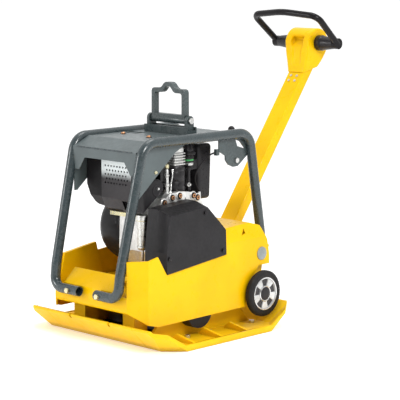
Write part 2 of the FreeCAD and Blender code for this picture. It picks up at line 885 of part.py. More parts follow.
def hull_sections(name, inset):
    """Plan and cross-section prisms that bound the upper body, or its inside by an inset."""
    plan = slab(name + "_plan", "xy", [
        (f"hull_front_half - 0.4 * ({inset})", f"hull_front + ({inset})"),
        (f"hull_half_width - ({inset})", f"hull_corner_y + 0.4 * ({inset})"),
        (f"hull_half_width - ({inset})", f"hull_rear + 20 - ({inset})"),
        (f"-(hull_half_width - ({inset}))", f"hull_rear + 20 - ({inset})"),
        (f"-(hull_half_width - ({inset}))", f"left_corner_y + 0.4 * ({inset})"),
        (f"-(hull_front_half - 0.4 * ({inset}))", f"hull_front + ({inset})"),
    ], "hull_low - 10", "slope_end + 10")
    across = slab(name + "_across", "xz", both_sides([
        (f"hull_half_width - ({inset})", "hull_low - 20"),
        (f"hull_half_width - ({inset})", "slope_start"),
        (f"hull_half_width - slope_inset - ({inset})", "slope_end"),
    ]), "-hull_rear - 40", "-hull_front + 40")
    return plan, across


def upper_body():
    """Welded sheet body: front tray for the engine, closed hood behind, open underneath."""
    outer = common("hull_outer", slab("hull_side", "yz", hull_side_points(),
                                      "-hull_half_width - 10", "hull_half_width + 10"),
                   *hull_sections("hull_outer_bounds", "0"))
    plan, across = hull_sections("hull_inner_bounds", "hull_wall")
    tray = slab("hull_tray", "yz", [
        ("hull_front + hull_wall", "floor_top"), ("floor_rear", "floor_top"),
        ("floor_rear", "hood_top - 11"), ("hood_start + hull_wall", "hood_top - 10.5"),
        ("hood_start - hull_wall", "hood_top + 20"), ("hull_front + hull_wall", "hood_top + 20"),
    ], "-hull_half_width", "hull_half_width")
    under = slab("hull_under", "yz", [
        ("hull_front + hull_wall", "hull_low"), ("floor_rear", "hull_low"),
        ("floor_rear", "floor_bottom"), ("hull_front + hull_wall", "floor_bottom"),
    ], "-hull_half_width", "hull_half_width")
    boot = slab("hull_boot", "yz", [
        ("floor_rear + hull_wall", "hull_low"), ("hull_rear - hull_wall", "hull_low"),
        ("hull_rear - hull_wall - 1", "262"), ("284", "311"), ("256", "362"), ("207", "377"),
        ("floor_rear + hull_wall", "376"),
    ], "-hull_half_width", "hull_half_width")
    inside = common("hull_inside", fuse("hull_hollows", tray, under, boot), plan, across)
    sill = fuse(
        "hull_sill",
        box("hull_sill_middle", ("-sill_half_width", "hull_front - 10", "front_bend"),
            ("sill_half_width", "hull_front + 10", "hood_top")),
        box("hull_sill_right", ("panel_half_width", "hull_front - 10", "front_bend - 10"),
            ("sill_half_width", "hull_front + 10", "hood_top")),
        box("hull_sill_left", ("-sill_half_width", "hull_front - 10", "front_bend - 10"),
            ("-panel_half_width", "hull_front + 10", "hood_top")))
    panel = slab("hull_front_panel", "yz", [
        ("hull_front", "front_bend"), ("panel_rear", "panel_top"),
        ("panel_rear + panel_thick", "panel_top - 1"),
        ("panel_rear + panel_thick", "panel_top - 22"),
        ("panel_rear", "panel_top - 22"), ("panel_rear", "panel_top - panel_thick - 2"),
        ("hull_front + panel_thick + 1", "front_bend - 3"), ("hull_front", "front_bend - 3"),
    ], "-panel_half_width", "panel_half_width")
    engine_notch = box("hull_engine_notch",
                       ("flywheel_left - 5", "hood_start - 8", "hood_top - 50"),
                       ("flange_right + 6", "crank_y + housing_radius + 4", "hood_top + 20"))
    right_notch = slab("hull_right_notch", "yz", [
        ("-264", "hood_top"), ("-262", "322"), ("-219.5", "252.6"), ("74", "286.2"),
        ("hood_start", "374"), ("hood_start", "hood_top + 20"),
    ], "hull_half_width - 40", "hull_half_width + 20")
    left_notch = slab("hull_left_notch", "yz", [
        ("-380", "hood_top"), ("-380", "187"), ("-284", "187"), ("-254", "268"),
        ("-104", "290"), ("-88", "258"), ("hood_start - 6", "272"),
        ("hood_start", "hood_top + 20"),
    ], "-hull_half_width - 20", "-sill_half_width + 2")
    belt_slot = box("hull_belt_slot", ("belt_slot_inner", "belt_slot_front", "floor_bottom - 1"),
                    ("hull_half_width - hull_wall - 1", "belt_slot_rear", "floor_top + 1"))
    vent = slab("hull_vent", "yz", [("158", "341"), ("174", "366"), ("180", "348")],
                "hull_half_width - 40", "hull_half_width + 10")
    shell = cut("hull_shell", outer, inside, sill, right_notch, left_notch, belt_slot, vent,
                engine_notch)
    saddles = [box(f"hull_saddle{index}",
                   (f"{across} - 14", "curl_y + tube_radius", "curl_z - 12"),
                   (f"{across} + 14", "hull_front + 1", "curl_z + 12"))
               for index, across in enumerate(FRAME_BOLT_PLACES)]
    bearers = [box(f"bearer_{start}", (start, "-150", "floor_top - 1"),
                   (f"{start} + bearer_width", "84", "engine_foot_z"))
               for start in ("right_bearer", "left_bearer")]
    cheek = slab("hull_cheek", "yz", [
        ("-272", "floor_top - 1"), ("-62", "floor_top - 1"), ("-98", "292"), ("-250", "269"),
    ], "-hull_half_width + 4", "-hull_half_width + 16")
    brackets = []
    for side in (-1, 1):
        brackets.append(slab(f"axle_bracket{len(brackets)}", "yz", [
            ("wheel_y - 22", "wheel_z - 20"), ("wheel_y + 22", "wheel_z - 20"),
            ("hull_rear - 7", "230"), ("hull_rear - 8", "262"), ("floor_rear + 4", "262"),
        ], f"{side} * 226 - 4", f"{side} * 226 + 4"))
    feet = []
    for side in (-1, 1):
        centre = f"{side} * 168"
        feet.append(slab(f"hoop_shelf{len(feet)}", "yz", [
            ("hull_rear - 5", "hoop_foot_z"), ("hull_rear - 5", "232"), ("hull_rear + 3", "232"),
            ("hoop_foot_y + 17", "hoop_foot_z - 8"), ("hoop_foot_y + 17", "hoop_foot_z"),
        ], f"{centre} - 20", f"{centre} + 20"))
    solid = fuse("hull_solid", shell, panel, cheek, *saddles, *bearers, *brackets, *feet)
    axle_bore = rod("axle_bore", "x", "axle_radius", ("-240", "wheel_y", "wheel_z"), "480")
    return node(cut("upper_body", solid, axle_bore), "upper_body")


def side_plug():
    """Round plastic plug in the right side of the hood."""
    plug = rod("side_plug_disc", "x", "plug_radius", ("hull_half_width", "plug_y", "plug_z"), "4")
    soft = rounded("side_plug", plug, 2, lambda edge: edge.BoundBox.XMin
                   > size("hull_half_width") + 3)
    return node(soft, "side_plug")


# ---------------------------------------------------------------- engine

def crankcase():
    """Cast crankcase with a hollow inside, a bore for the crankshaft and a governor lug."""
    outline = slab("case_outline", "yz", [
        ("-112", "engine_foot_z"), ("62", "engine_foot_z"), ("86", "300"), ("84", "452"),
        ("44", "484"), ("-20", "494"), ("-95", "484"), ("-112", "444"), ("-146", "420"),
        ("-150", "300"),
    ], "case_left", "case_right")
    hollow = slab("case_hollow", "yz", [
        ("-98", "engine_foot_z + 14"), ("50", "engine_foot_z + 14"), ("70", "300"),
        ("68", "442"), ("-20", "474"), ("-100", "438"), ("-132", "408"), ("-136", "300"),
    ], "case_left + 12", "case_right - 12")
    bore = rod("case_bore", "x", "crank_radius + running_fit",
               ("case_left - 1", "crank_y", "crank_z"), "case_right - case_left + 2")
    lug = box("case_lug", ("governor_x - 14", "80", "governor_z - 12"),
              ("governor_x - 0.3", "governor_y + 10", "governor_z + 9"))
    stick_tube = rod("stick_tube", "z", "5", ("dipstick_x", "dipstick_y", "484"),
                     "dipstick_top - 20 - 484")
    stick_seat = rod("stick_seat", "z", "9", ("dipstick_x", "dipstick_y", "484"), "24")
    stick_base = box("stick_base", ("dipstick_x - 22", "dipstick_y - 9", "480"),
                     ("dipstick_x", "dipstick_y + 9", "490"))
    stick_bore = rod("stick_bore", "z", "dipstick_radius + running_fit",
                     ("dipstick_x", "dipstick_y", "492"), "dipstick_top - 480")
    solid = fuse("case_solid", outline, lug, stick_tube, stick_seat, stick_base)
    return node(cut("engine_crankcase", solid, hollow, bore, stick_bore), "engine_crankcase")


def clutch_flange():
    """Cast ring flange between the crankcase and the belt cover, with a lug for its front bolt."""
    outline = slab("flange_outline", "yz", [
        ("-96", "262"), ("50", "262"), ("74", "300"), ("72", "456"), ("55", "486"),
        ("37", "498"), ("12", "504"), ("-30", "510"), ("-92", "508"), ("-111", "494"),
        ("-111", "444"), ("-140", "420"), ("-144", "300"),
    ], "case_right", "flange_right")
    lug = slab("flange_lug", "yz", [
        ("-112", "492"), ("-124", "494"), ("-136", "488"), ("-138", "474"), ("-130", "464"),
        ("-112", "462"),
    ], "filter_right + 0.4", "flange_right")
    opening = rod("flange_opening", "x", "clutch_radius + 22",
                  ("case_right - 1", "crank_y", "crank_z"), "flange_right - case_right + 2")
    stick_room = rod("flange_stick_room", "z", "9.4", ("dipstick_x", "dipstick_y", "480"), "40")
    cylinder_room = rod("flange_cylinder_room", "z", "fin_radius + 1",
                        ("cylinder_x", "cylinder_y", "cylinder_base - 1"), "30")
    solid = fuse("flange_solid", outline, lug)
    return node(cut("clutch_flange", solid, opening, stick_room, cylinder_room), "clutch_flange")


def flange_bolts():
    """Hexagon bolts along the flange's upper edge."""
    return [hexagon(f"flange_bolt{index}", "x", "13", ("flange_right", *spot), "8")
            for index, spot in enumerate(FLANGE_BOLT_PLACES)]


def crankshaft():
    """Crankshaft with two webs and a crank pin, from the flywheel to the clutch."""
    line = ("crank_y", "crank_z")
    journals = [
        rod("journal_left", "x", "crank_radius", ("flywheel_left + 20", *line),
            "-(flywheel_left + 20) + 8"),
        rod("journal_right", "x", "crank_radius", ("52", *line),
            "belt_plane + pulley_width / 2 - 52"),
    ]
    webs = [rod(f"crank_web{index}", "x", "58", (start, *line), "14")
            for index, start in enumerate(("8", "52"))]
    pin = rod("crank_pin", "x", "15", ("8", "crank_y", "crank_z + 34"), "50")
    return node(fuse("crankshaft", *journals, *webs, pin), "crankshaft")


def flywheel():
    """Flywheel with radial fan blades for the cooling air."""
    disc = rod("flywheel_disc", "x", "flywheel_radius", ("-104", "crank_y", "crank_z"), "26")
    bore = rod("flywheel_bore", "x", "crank_radius", ("-150", "crank_y", "crank_z"), "90")
    blades = []
    for index in range(12):
        blade = slab(f"fan_blade{index}", "yz",
                     [("-2", "52"), ("2", "52"), ("2", "98"), ("-2", "98")],
                     "-128", "-102")
        blade.Placement = Placement(Vector(), Rotation(Vector(1, 0, 0), 30 * index))
        blades.append(place(blade, ("0", "crank_y", "crank_z")))
    return node(cut("flywheel", fuse("flywheel_solid", disc, *blades), bore), "flywheel")


def flywheel_housing():
    """Drum around the flywheel with an air grille on its outer face and a crank-start sleeve."""
    line = ("crank_y", "crank_z")
    drum = turned("flywheel_drum", [
        ("0", "0"), ("0", "housing_radius - 34"), ("20", "housing_radius - 8"),
        ("40", "housing_radius"), ("flywheel_right - flywheel_left", "housing_radius"),
        ("flywheel_right - flywheel_left", "0"),
    ])
    place(drum, ("flywheel_left", *line))
    hollow = turned("flywheel_room", [
        ("4", "0"), ("4", "housing_radius - 36"), ("22", "housing_radius - 12"),
        ("42", "housing_radius - 4"), ("flywheel_right - flywheel_left - 4", "housing_radius - 4"),
        ("flywheel_right - flywheel_left - 4", "0"),
    ])
    place(hollow, ("flywheel_left", *line))
    slots = []
    for index in range(-4, 5):
        half_height = round(math.sqrt(80 ** 2 - (index * 17) ** 2) - 4, 1)
        slots.append(box(f"grille_slot{index + 4}",
                         ("flywheel_left - 1", f"crank_y + {index} * 17 - 4.5",
                          f"crank_z - {half_height}"),
                         ("flywheel_left + 5", f"crank_y + {index} * 17 + 4.5",
                          f"crank_z + {half_height}")))
    bore = rod("flywheel_shaft_hole", "x", "crank_radius + 3", ("flywheel_left + 8", *line),
               "flywheel_right - flywheel_left")
    duct = slab("duct_block", "xz", [
        ("flywheel_right", "430"), ("flywheel_right", "588"), ("flywheel_right - 26", "588"),
        ("flywheel_right - 50", "560"), ("flywheel_right - 50", "430"),
    ], "-56", "92")
    duct_room = slab("duct_room", "xz", [
        ("flywheel_right + 1", "440"), ("flywheel_right + 1", "584"),
        ("flywheel_right - 24", "584"), ("flywheel_right - 46", "559"),
        ("flywheel_right - 46", "440"),
    ], "-52", "88")
    sleeve_ring = rod("start_sleeve", "x", "20", ("flywheel_left - 8", *line), "16")
    sleeve_bore = rod("start_sleeve_bore", "x", "13", ("flywheel_left - 9", *line), "18")
    body = cut("flywheel_shell", fuse("flywheel_outer", drum, duct), hollow, duct_room, *slots)
    with_sleeve = fuse("flywheel_sleeved", body, sleeve_ring)
    return node(cut("flywheel_housing", with_sleeve, sleeve_bore, bore), "flywheel_housing")


def cylinder():
    """Finned air-cooled cylinder."""
    core = rod("cylinder_core", "z", "cylinder_radius",
               ("cylinder_x", "cylinder_y", "cylinder_base"), "cylinder_top - cylinder_base")
    fins = [rod(f"cylinder_fin{index}", "z", "fin_radius",
                ("cylinder_x", "cylinder_y", f"cylinder_base + 5 + {index} * 10"), "3.4")
            for index in range(9)]
    return node(fuse("engine_cylinder", core, *fins), "engine_cylinder")


def cylinder_head():
    """Square finned head with the rocker cover's seat on top."""
    low = ("cylinder_x - 31", "cylinder_y - 28")
    high = ("cylinder_x + 31", "cylinder_y + 28")
    core = box("head_core", ("cylinder_x - 24", "cylinder_y - 21", "cylinder_top"),
               ("cylinder_x + 24", "cylinder_y + 21", "cylinder_head_top"))
    fins = [box(f"head_fin{index}", (*low, f"cylinder_top + {index} * 9.6"),
                (*high, f"cylinder_top + 3.6 + {index} * 9.6")) for index in range(5)]
    block = fuse("head_block", core, *fins)
    soft = rounded("head_soft", block, 6, lambda edge: along("z")(edge)
                   and abs(edge.BoundBox.Center.x - size("cylinder_x")) > 30)
    return node(soft, "cylinder_head")


def rocker_cover():
    """Cover on the cylinder head."""
    block = box("rocker_block", ("cylinder_x - 27", "cylinder_y - 25", "cylinder_head_top"),
                ("cylinder_x + 27", "cylinder_y + 25", "rocker_top"))
    return node(rounded("rocker_cover", block, 9, lambda edge: not (
        edge.BoundBox.ZMax < size("cylinder_head_top") + 1)), "rocker_cover")


def muffler():
    """Rounded exhaust box along the front of the engine."""
    block = slab("muffler_block", "yz", [
        ("muffler_front", "muffler_low + 46"), ("muffler_front + 18", "muffler_low + 12"),
        ("muffler_front + 44", "muffler_low"), ("muffler_rear - 14", "muffler_low"),
        ("muffler_rear", "muffler_low + 10"), ("muffler_rear", "muffler_high"),
        ("muffler_front + 26", "muffler_high"), ("muffler_front", "muffler_high - 30"),
    ], "muffler_left", "muffler_right")
    ends = slab("muffler_ends", "xz", [
        ("muffler_left", "muffler_high + 1"), ("muffler_right", "muffler_high + 1"),
        ("muffler_right", "muffler_low - 1"), ("muffler_left + 62", "muffler_low - 1"),
        ("muffler_left + 30", "muffler_low + 20"), ("muffler_left", "muffler_low + 84"),
    ], "-muffler_rear - 5", "-muffler_front + 5")
    room = slab("muffler_room", "yz", [
        ("muffler_front + 3", "muffler_low + 47"), ("muffler_front + 20", "muffler_low + 15"),
        ("muffler_front + 45", "muffler_low + 3"), ("muffler_rear - 15", "muffler_low + 3"),
        ("muffler_rear - 3", "muffler_low + 12"), ("muffler_rear - 3", "muffler_high - 3"),
        ("muffler_front + 27", "muffler_high - 3"), ("muffler_front + 3", "muffler_high - 31"),
    ], "muffler_left + 3", "muffler_right - 3")
    room_ends = slab("muffler_room_ends", "xz", [
        ("muffler_left + 3", "muffler_high"), ("muffler_right - 3", "muffler_high"),
        ("muffler_right - 3", "muffler_low"), ("muffler_left + 63", "muffler_low"),
        ("muffler_left + 32", "muffler_low + 23"), ("muffler_left + 3", "muffler_low + 85"),
    ], "-muffler_rear - 5", "-muffler_front + 5")
    inlet = tube("muffler_inlet", [
        (62, size("cylinder_y") - 28, 618), (62, -146, 618), (size("muffler_right") - 1, -146, 618),
    ], [22], 12)
    shell = cut("muffler_shell", common("muffler_mass", block, ends),
                common("muffler_hollow", room, room_ends))
    return node(fuse("muffler", shell, inlet), "muffler")


def muffler_guard():
    """Perforated heat guard bent around the muffler's front."""
    thick = "guard_sheet_thick"
    outer = slab("guard_sheet", "yz", [
        ("muffler_front - 10", "muffler_low + 46"), ("muffler_front + 8", "muffler_low + 6"),
        ("muffler_front + 34", "muffler_low - 8"),
        (f"muffler_front + 34 + {thick}", f"muffler_low - 8 + {thick}"),
        (f"muffler_front + 8 + {thick}", f"muffler_low + 6 + {thick}"),
        (f"muffler_front - 10 + {thick}", f"muffler_low + 46 + {thick}"),
        (f"muffler_front - 10 + {thick}", "muffler_high - 26"),
        ("muffler_front - 10", "muffler_high - 26"),
    ], "guard_sheet_left", "guard_sheet_right")
    holes = []
    for row in range(5):
        for column in range(8):
            holes.append(rod(f"guard_hole{row}_{column}", "y", "3.6",
                             (f"guard_sheet_left + 20 + {column} * 15 + {row % 2} * 7.5",
                              "muffler_front - 12", f"muffler_high - 44 - {row} * 15"), "6"))
    stays = [box(f"guard_stay{index}", (start, "muffler_front - 9", "muffler_low + 90"),
                 (f"{start} + 8", "muffler_front", "muffler_low + 106"))
             for index, start in enumerate(("guard_sheet_left + 6", "muffler_right - 20"))]
    filter_room = box("guard_filter_room", ("muffler_right + 2", "muffler_front - 20", "400"),
                      ("guard_sheet_right + 5", "muffler_front + 60", "muffler_low + 40"))
    sheet_metal = cut("guard_perforated", outer, filter_room, *holes)
    return node(fuse("muffler_guard", sheet_metal, *stays), "muffler_guard")


def air_filter():
    """Moulded air filter box, tilted forward, with an intake neck towards the cylinder."""
    block = slab("filter_block", "yz", [
        ("filter_front", "filter_low"), ("-137", "filter_high - 54"),
        ("filter_rear", "filter_high - 43"), ("filter_rear", "filter_high - 21"),
        ("-138", "filter_high - 2"), ("-158", "filter_high"), ("-182", "filter_high - 12"),
        ("filter_front", "filter_high - 46"),
    ], "filter_left", "filter_right")
    soft = rounded("filter_soft", block, 5, lambda edge: edge.BoundBox.XMin
                   > size("filter_right") - 1)
    neck = rod("filter_neck", "y", "13",
               ("filter_left + 11", "filter_rear - 6", "filter_high - 32"),
               "cylinder_y - fin_radius - 0.3 - (filter_rear - 6)")
    return node(fuse("air_filter", soft, neck), "air_filter")


def fuel_filter():
    """Metal filter canister on a bracket with a drain stem."""
    can = turned("canister", [
        ("0", "0"), ("0", "5"), ("45", "5"), ("45", "canister_radius - 6"),
        ("52", "canister_radius - 3"), ("150", "canister_radius"), ("150", "canister_radius + 3"),
        ("168", "canister_radius + 3"), ("168", "0"),
    ], "z")
    place(can, ("canister_x", "canister_y", "canister_low"))
    return node(can, "fuel_filter")


def filter_bracket():
    """Zinc-plated bar that carries the fuel filter in front of the crankcase."""
    bar = box("bracket_bar", ("-44", "-206", "428"),
              ("canister_x - canister_radius - 3", "-200", "442"))
    arm = slab("bracket_arm", "yz", [("-206", "428"), ("-206", "436"), ("-123.6", "436"),
                                     ("-134.9", "428")], "-44", "-34")
    return node(fuse("filter_bracket", bar, arm), "filter_bracket")


def fuel_tank():
    """Moulded tank behind the engine, narrower at its foot, with its filler neck."""
    block = slab("tank_block", "yz", [
        ("tank_front", "tank_low"), ("tank_rear - 8", "tank_low"), ("tank_rear", "tank_high"),
        ("tank_front", "tank_high"),
    ], "tank_left", "tank_right")
    soft = rounded("tank_soft", block, 14, lambda edge: True)
    neck = rod("tank_neck", "z", "neck_radius", ("neck_x", "neck_y", "neck_low"),
               "neck_high - neck_low")
    bridge = box("tank_bridge", ("neck_x - 14", "neck_y", "neck_low"),
                 ("neck_x + 10", "tank_front + 30", "neck_low + 34"))
    feet = [box(f"tank_foot{index}", (start, "84.5", "444"),
                (f"{start} + 20", "tank_front + 40", "470"))
            for index, start in enumerate(("-30", "40"))]
    return node(fuse("fuel_tank", soft, neck, bridge, *feet), "fuel_tank")


def fuel_cap():
    """Quarter-turn filler cap with grip flats."""
    cap = rod("cap_disc", "z", "fuel_cap_radius", ("neck_x", "neck_y", "neck_high + 0.3"),
              "fuel_cap_top - neck_high - 0.3")
    grips = []
    for index in range(8):
        angle = math.radians(45 * index + 22.5)
        across = round(math.cos(angle) * (size("fuel_cap_radius") + 2.4), 2)
        reach = round(math.sin(angle) * (size("fuel_cap_radius") + 2.4), 2)
        grips.append(rod(f"cap_grip{index}", "z", "5",
                         (f"neck_x + ({across})", f"neck_y + ({reach})", "neck_high + 10"), "20"))
    return node(cut("fuel_cap", cap, *grips), "fuel_cap")


def dipstick():
    """Oil dipstick in its tube, with a pull ring on top."""
    rod_piece = rod("dipstick_rod", "z", "dipstick_radius", ("dipstick_x", "dipstick_y", "492"),
                    "dipstick_top - 492 - 10")
    grip = turned("dipstick_grip", [("0", "0"), ("0", "6"), ("4", "8"), ("14", "8"), ("18", "5"),
                                    ("18", "0")], "z")
    place(grip, ("dipstick_x", "dipstick_y", "dipstick_top - 18"))
    return node(fuse("dipstick", rod_piece, grip), "dipstick")


def governor_lever():
    """Speed lever on the crankcase that the throttle cable pulls."""
    arm = slab("governor_arm", "yz", [
        ("governor_y - 9", "governor_z - 8"), ("governor_y + 9", "governor_z - 8"),
        ("governor_y + 5", "governor_z + 40"), ("governor_y - 5", "governor_z + 40"),
    ], "governor_x", "governor_x + 4")
    boss = rod("governor_boss", "x", "9", ("governor_x", "governor_y", "governor_z"), "8")
    return node(fuse("governor_lever", arm, boss), "governor_lever")


# ---------------------------------------------------------------- belt cover

def cover_outline(inset, rise):
    """Side outline of the belt cover, drawn inwards by an inset and raised along its top."""
    return [
        (f"-219 + 0.7 * ({inset})", f"254 + ({inset})"), (f"70 - ({inset})", f"287 + ({inset})"),
        (f"67 - ({inset})", f"376 - 0.4 * ({inset})"),
        (f"28 - 0.4 * ({inset})", f"415 - ({inset}) + ({rise}) / 2"),
        (f"-25 - 0.4 * ({inset})", f"466 - ({inset}) + ({rise})"),
        (f"-206 + ({inset})", f"453 - ({inset}) + ({rise})"),
        (f"-224 + ({inset})", f"327 - 0.1 * ({inset})"), (f"-223.4 + ({inset})", "264"),
    ]


def cover_form(name, inset, inner, outer):
    """The cover's solid form: a straight back part and a front part that narrows to its face."""
    back = slab(name + "_back", "yz", cover_outline(inset, "cover_rise"), inner, "cover_shoulder")
    rings = []
    for along_x, rise in (("cover_shoulder", "cover_rise"), (outer, "0")):
        ring = doc.addObject("Sketcher::SketchObject", f"{name}_ring{len(rings)}")
        draw_outline(ring, cover_outline(inset, rise))
        ring.Placement = Placement(Vector(), Rotation(Vector(1, 1, 1), 120))
        ring.setExpression("Placement.Base.x", formula(along_x))
        rings.append(ring)
    front = doc.addObject("Part::Loft", name + "_front")
    front.Sections = rings
    front.Solid = True
    front.Ruled = True
    return fuse(name, back, front)


def belt_cover():
    """Moulded cover over the clutch: bevelled top, closed face, open towards the engine."""
    outer = cover_form("cover_outer", "0", "cover_inner", "cover_face")
    room = cover_form("cover_room", "cover_wall", "cover_inner - 1", "cover_face - cover_wall")
    belt_slot = box("cover_belt_slot", ("belt_plane - 14", "-105", "240"),
                    ("belt_plane + 14", "48", "310"))
    shell = cut("cover_shell", outer, room, belt_slot)
    posts = [rod(f"cover_post{index}", "x", "5", (start, *spot), f"cover_face - 2 - {start}")
             for index, (start, *spot) in enumerate(COVER_SCREW_PLACES)]
    return node(fuse("belt_cover", shell, *posts), "belt_cover")


def belt_cover_screws():
    """Screws in the belt cover's face, each in line with a post inside the cover."""
    return [rod(f"cover_screw{index}", "x", "7", ("cover_face", *spot), "5")
            for index, (_, *spot) in enumerate(COVER_SCREW_PLACES)]


# ---------------------------------------------------------------- protective frame

def hoop_points(side, bolt_inner):
    """Route of one protective hoop, from its curled front end to just below its rear foot."""
    low = size("hoop_low_x")
    top = size("hoop_top_x")
    curl_y = size("curl_y")
    curl_z = size("curl_z")
    rail = size("rail_z")
    return [
        (side * bolt_inner, curl_y, curl_z),
        (side * (low - 1), curl_y, curl_z),
        (side * low, -353, 258),
        (side * (top - 3), -250, rail),
        (side * top, 274, rail),
        (side * 167, size("hoop_foot_y") + 4, size("hoop_foot_z") - 20),
    ]


def protective_hoop(side):
    """One bent side tube of the protective frame."""
    name = "hoop_right" if side > 0 else "hoop_left"
    start = 54 if side > 0 else 34
    points = hoop_points(side, start)
    piece = tube(name, points, HOOP_RADII, size("tube_radius"), size("tube_bore"))
    below = box(name + "_below",
                (f"{side} * hoop_low_x - 60", "hoop_foot_y - 60", "hoop_foot_z - 60"),
                (f"{side} * hoop_low_x + 60", "hoop_foot_y + 60", "hoop_foot_z"))
    return node(cut(f"protective_{name}", piece, below), f"protective_{name}")


def build_hoops():
    """Both hoops; their outer envelopes are kept as cutting tools for the welded sheets."""
    tools = []
    for side in (1, -1):
        points = hoop_points(side, 40)
        tools.append(tube("hoop_envelope_right" if side > 0 else "hoop_envelope_left",
                          points, HOOP_RADII, size("tube_radius")))
        protective_hoop(side)
    return tools


def top_cover(envelopes):
    """Folded sheet between the rails: flat top, sloped nose, front apron and two side wings."""
    thick = "sheet_thick"
    roof = slab("roof_sheet", "yz", [
        ("sheet_rear", f"sheet_top - {thick}"), ("sheet_rear", "sheet_top"),
        ("sheet_fold_y", "sheet_top"), ("apron_y", "apron_top"), ("apron_y", "apron_leg_low"),
        (f"apron_y + {thick}", "apron_leg_low"), (f"apron_y + {thick}", "apron_top - 2"),
        ("sheet_fold_y + 0.6", f"sheet_top - {thick}"),
    ], "-sheet_half_width", "sheet_half_width")
    window = slab("apron_window", "xz", both_sides([
        ("apron_leg_inner", "apron_leg_low - 2"), ("apron_leg_inner - 32", "apron_low"),
    ]), "-apron_y - 10", "-apron_y + 10")
    throttle_slot = box("throttle_slot", ("throttle_x - 24", "104", "sheet_top - 10"),
                        ("throttle_x + 20", "236", "sheet_top + 10"))
    vents = [box(f"roof_vent{index}", (start, "-52", "sheet_top - 10"),
                 (f"{start} + 34", "2", "sheet_top + 10"))
             for index, start in enumerate(("-150", "-104", "70"))]
    wing = slab("cover_wing", "yz", [
        ("-270", "509"), ("-258", "509"), ("-84", "654"), ("-16", "688"), ("-16", "sheet_top - 1"),
        ("sheet_fold_y", "sheet_top - 1"), ("apron_y + 1", "apron_top - 3"), ("apron_y + 1", "560"),
    ], "sheet_half_width - 4", "sheet_half_width - 0.5")
    other_wing = mirrored("cover_wing_left", wing)
    solid = fuse("cover_sheet", cut("roof_open", roof, window, throttle_slot, *vents), wing,
                 other_wing)
    return node(cut("top_cover", solid, *envelopes), "top_cover")


def frame_bolts():
    """Bolts that hold the hoops' curled front ends to the upper body."""
    return [hexagon(f"frame_bolt{index}", "y", "17",
                    (across, "curl_y - tube_radius - 8", "curl_z"), "8")
            for index, across in enumerate(FRAME_BOLT_PLACES)]


def bolts_and_screws():
    """All the visible fixed fasteners of the lower and upper mass, as separate solids."""
    pieces = extension_bolts() + flange_bolts() + belt_cover_screws() + frame_bolts()
    return node(group("bolts_and_screws", pieces), "bolts_and_screws")


def lift_base():
    """Channel across the top cover with two ears for the lifting frame's hinge pin."""
    outer = box("lift_channel", ("-lift_base_half", "lift_y - 24", "sheet_top"),
                ("lift_base_half", "lift_y + 24", "lift_base_low + 14"))
    groove = box("lift_groove", ("-lift_base_half - 1", "lift_y - 18", "lift_base_low + 2"),
                 ("lift_base_half + 1", "lift_y + 18", "lift_base_low + 20"))
    ears = []
    for low, high in (("lift_ear_inner", "lift_ear_outer"), ("-lift_ear_outer", "-lift_ear_inner")):
        name = f"lift_ear{len(ears)}"
        plate = box(name, (low, "lift_y - 18", "lift_base_low"),
                    (high, "lift_y + 18", "lift_pin_z + 2"))
        top = rod(name + "_top", "x", "18", (low, "lift_y", "lift_pin_z"), f"({high}) - ({low})")
        ears += [plate, top]
    solid = fuse("lift_base_solid", cut("lift_channel_open", outer, groove), *ears)
    bore = rod("lift_base_bore", "x", "lift_pin_radius", ("-130", "lift_y", "lift_pin_z"), "260")
    return node(cut("lift_base", solid, bore), "lift_base")


def lift_pin():
    """Hinge pin of the lifting frame."""
    pin = rod("lift_pin_rod", "x", "lift_pin_radius",
              ("-lift_ear_outer - 8", "lift_y", "lift_pin_z"),
              "2 * lift_ear_outer + 16")
    heads = [rod(f"lift_pin_head{index}", "x", "11", (start, "lift_y", "lift_pin_z"), "5")
             for index, start in enumerate(("-lift_ear_outer - 8", "lift_ear_outer + 3"))]
    return node(fuse("lift_pin", pin, *heads), "lift_pin")


def lifting_frame():
    """Folding lifting eye: a plate frame with a raised hook seat, on a hinge barrel."""
    outline = slab("lift_outline", "xz", both_sides([
        ("lift_half_width", "lift_pin_z"), ("lift_half_width", "lift_eye_z - 12"),
        ("lift_half_width - 3.5", "lift_eye_z - 3.5"), ("lift_half_width - 12", "lift_eye_z"),
        ("42", "lift_eye_z"), ("32", "lift_eye_z + 6"), ("22", "lift_hump - 6"),
        ("12", "lift_hump"),
    ]), "-lift_y - lift_half_depth", "-lift_y + lift_half_depth")
    window = slab("lift_window", "xz", both_sides([
        ("lift_half_width - lift_bar", "lift_pin_z + 20"),
        ("lift_half_width - lift_bar", "lift_eye_z - lift_bar - 6"),
        ("lift_half_width - lift_bar - 6", "lift_eye_z - lift_bar"),
        ("36", "lift_eye_z - lift_bar"), ("26", "lift_eye_z - lift_bar + 5"),
        ("16", "lift_hump - lift_bar - 6"), ("9", "lift_hump - lift_bar"),
    ]), "-lift_y - 30", "-lift_y + 30")
    barrel = rod("lift_barrel", "x", "barrel_radius",
                 ("-lift_ear_inner + 0.5", "lift_y", "lift_pin_z"), "2 * lift_ear_inner - 1")
    bore = rod("lift_barrel_bore", "x", "lift_pin_radius + running_fit",
               ("-lift_ear_inner", "lift_y", "lift_pin_z"), "2 * lift_ear_inner")
    return node(cut("lifting_frame", fuse("lift_solid", cut("lift_open", outline, window), barrel),
                    bore), "lifting_frame")


# ---------------------------------------------------------------- throttle

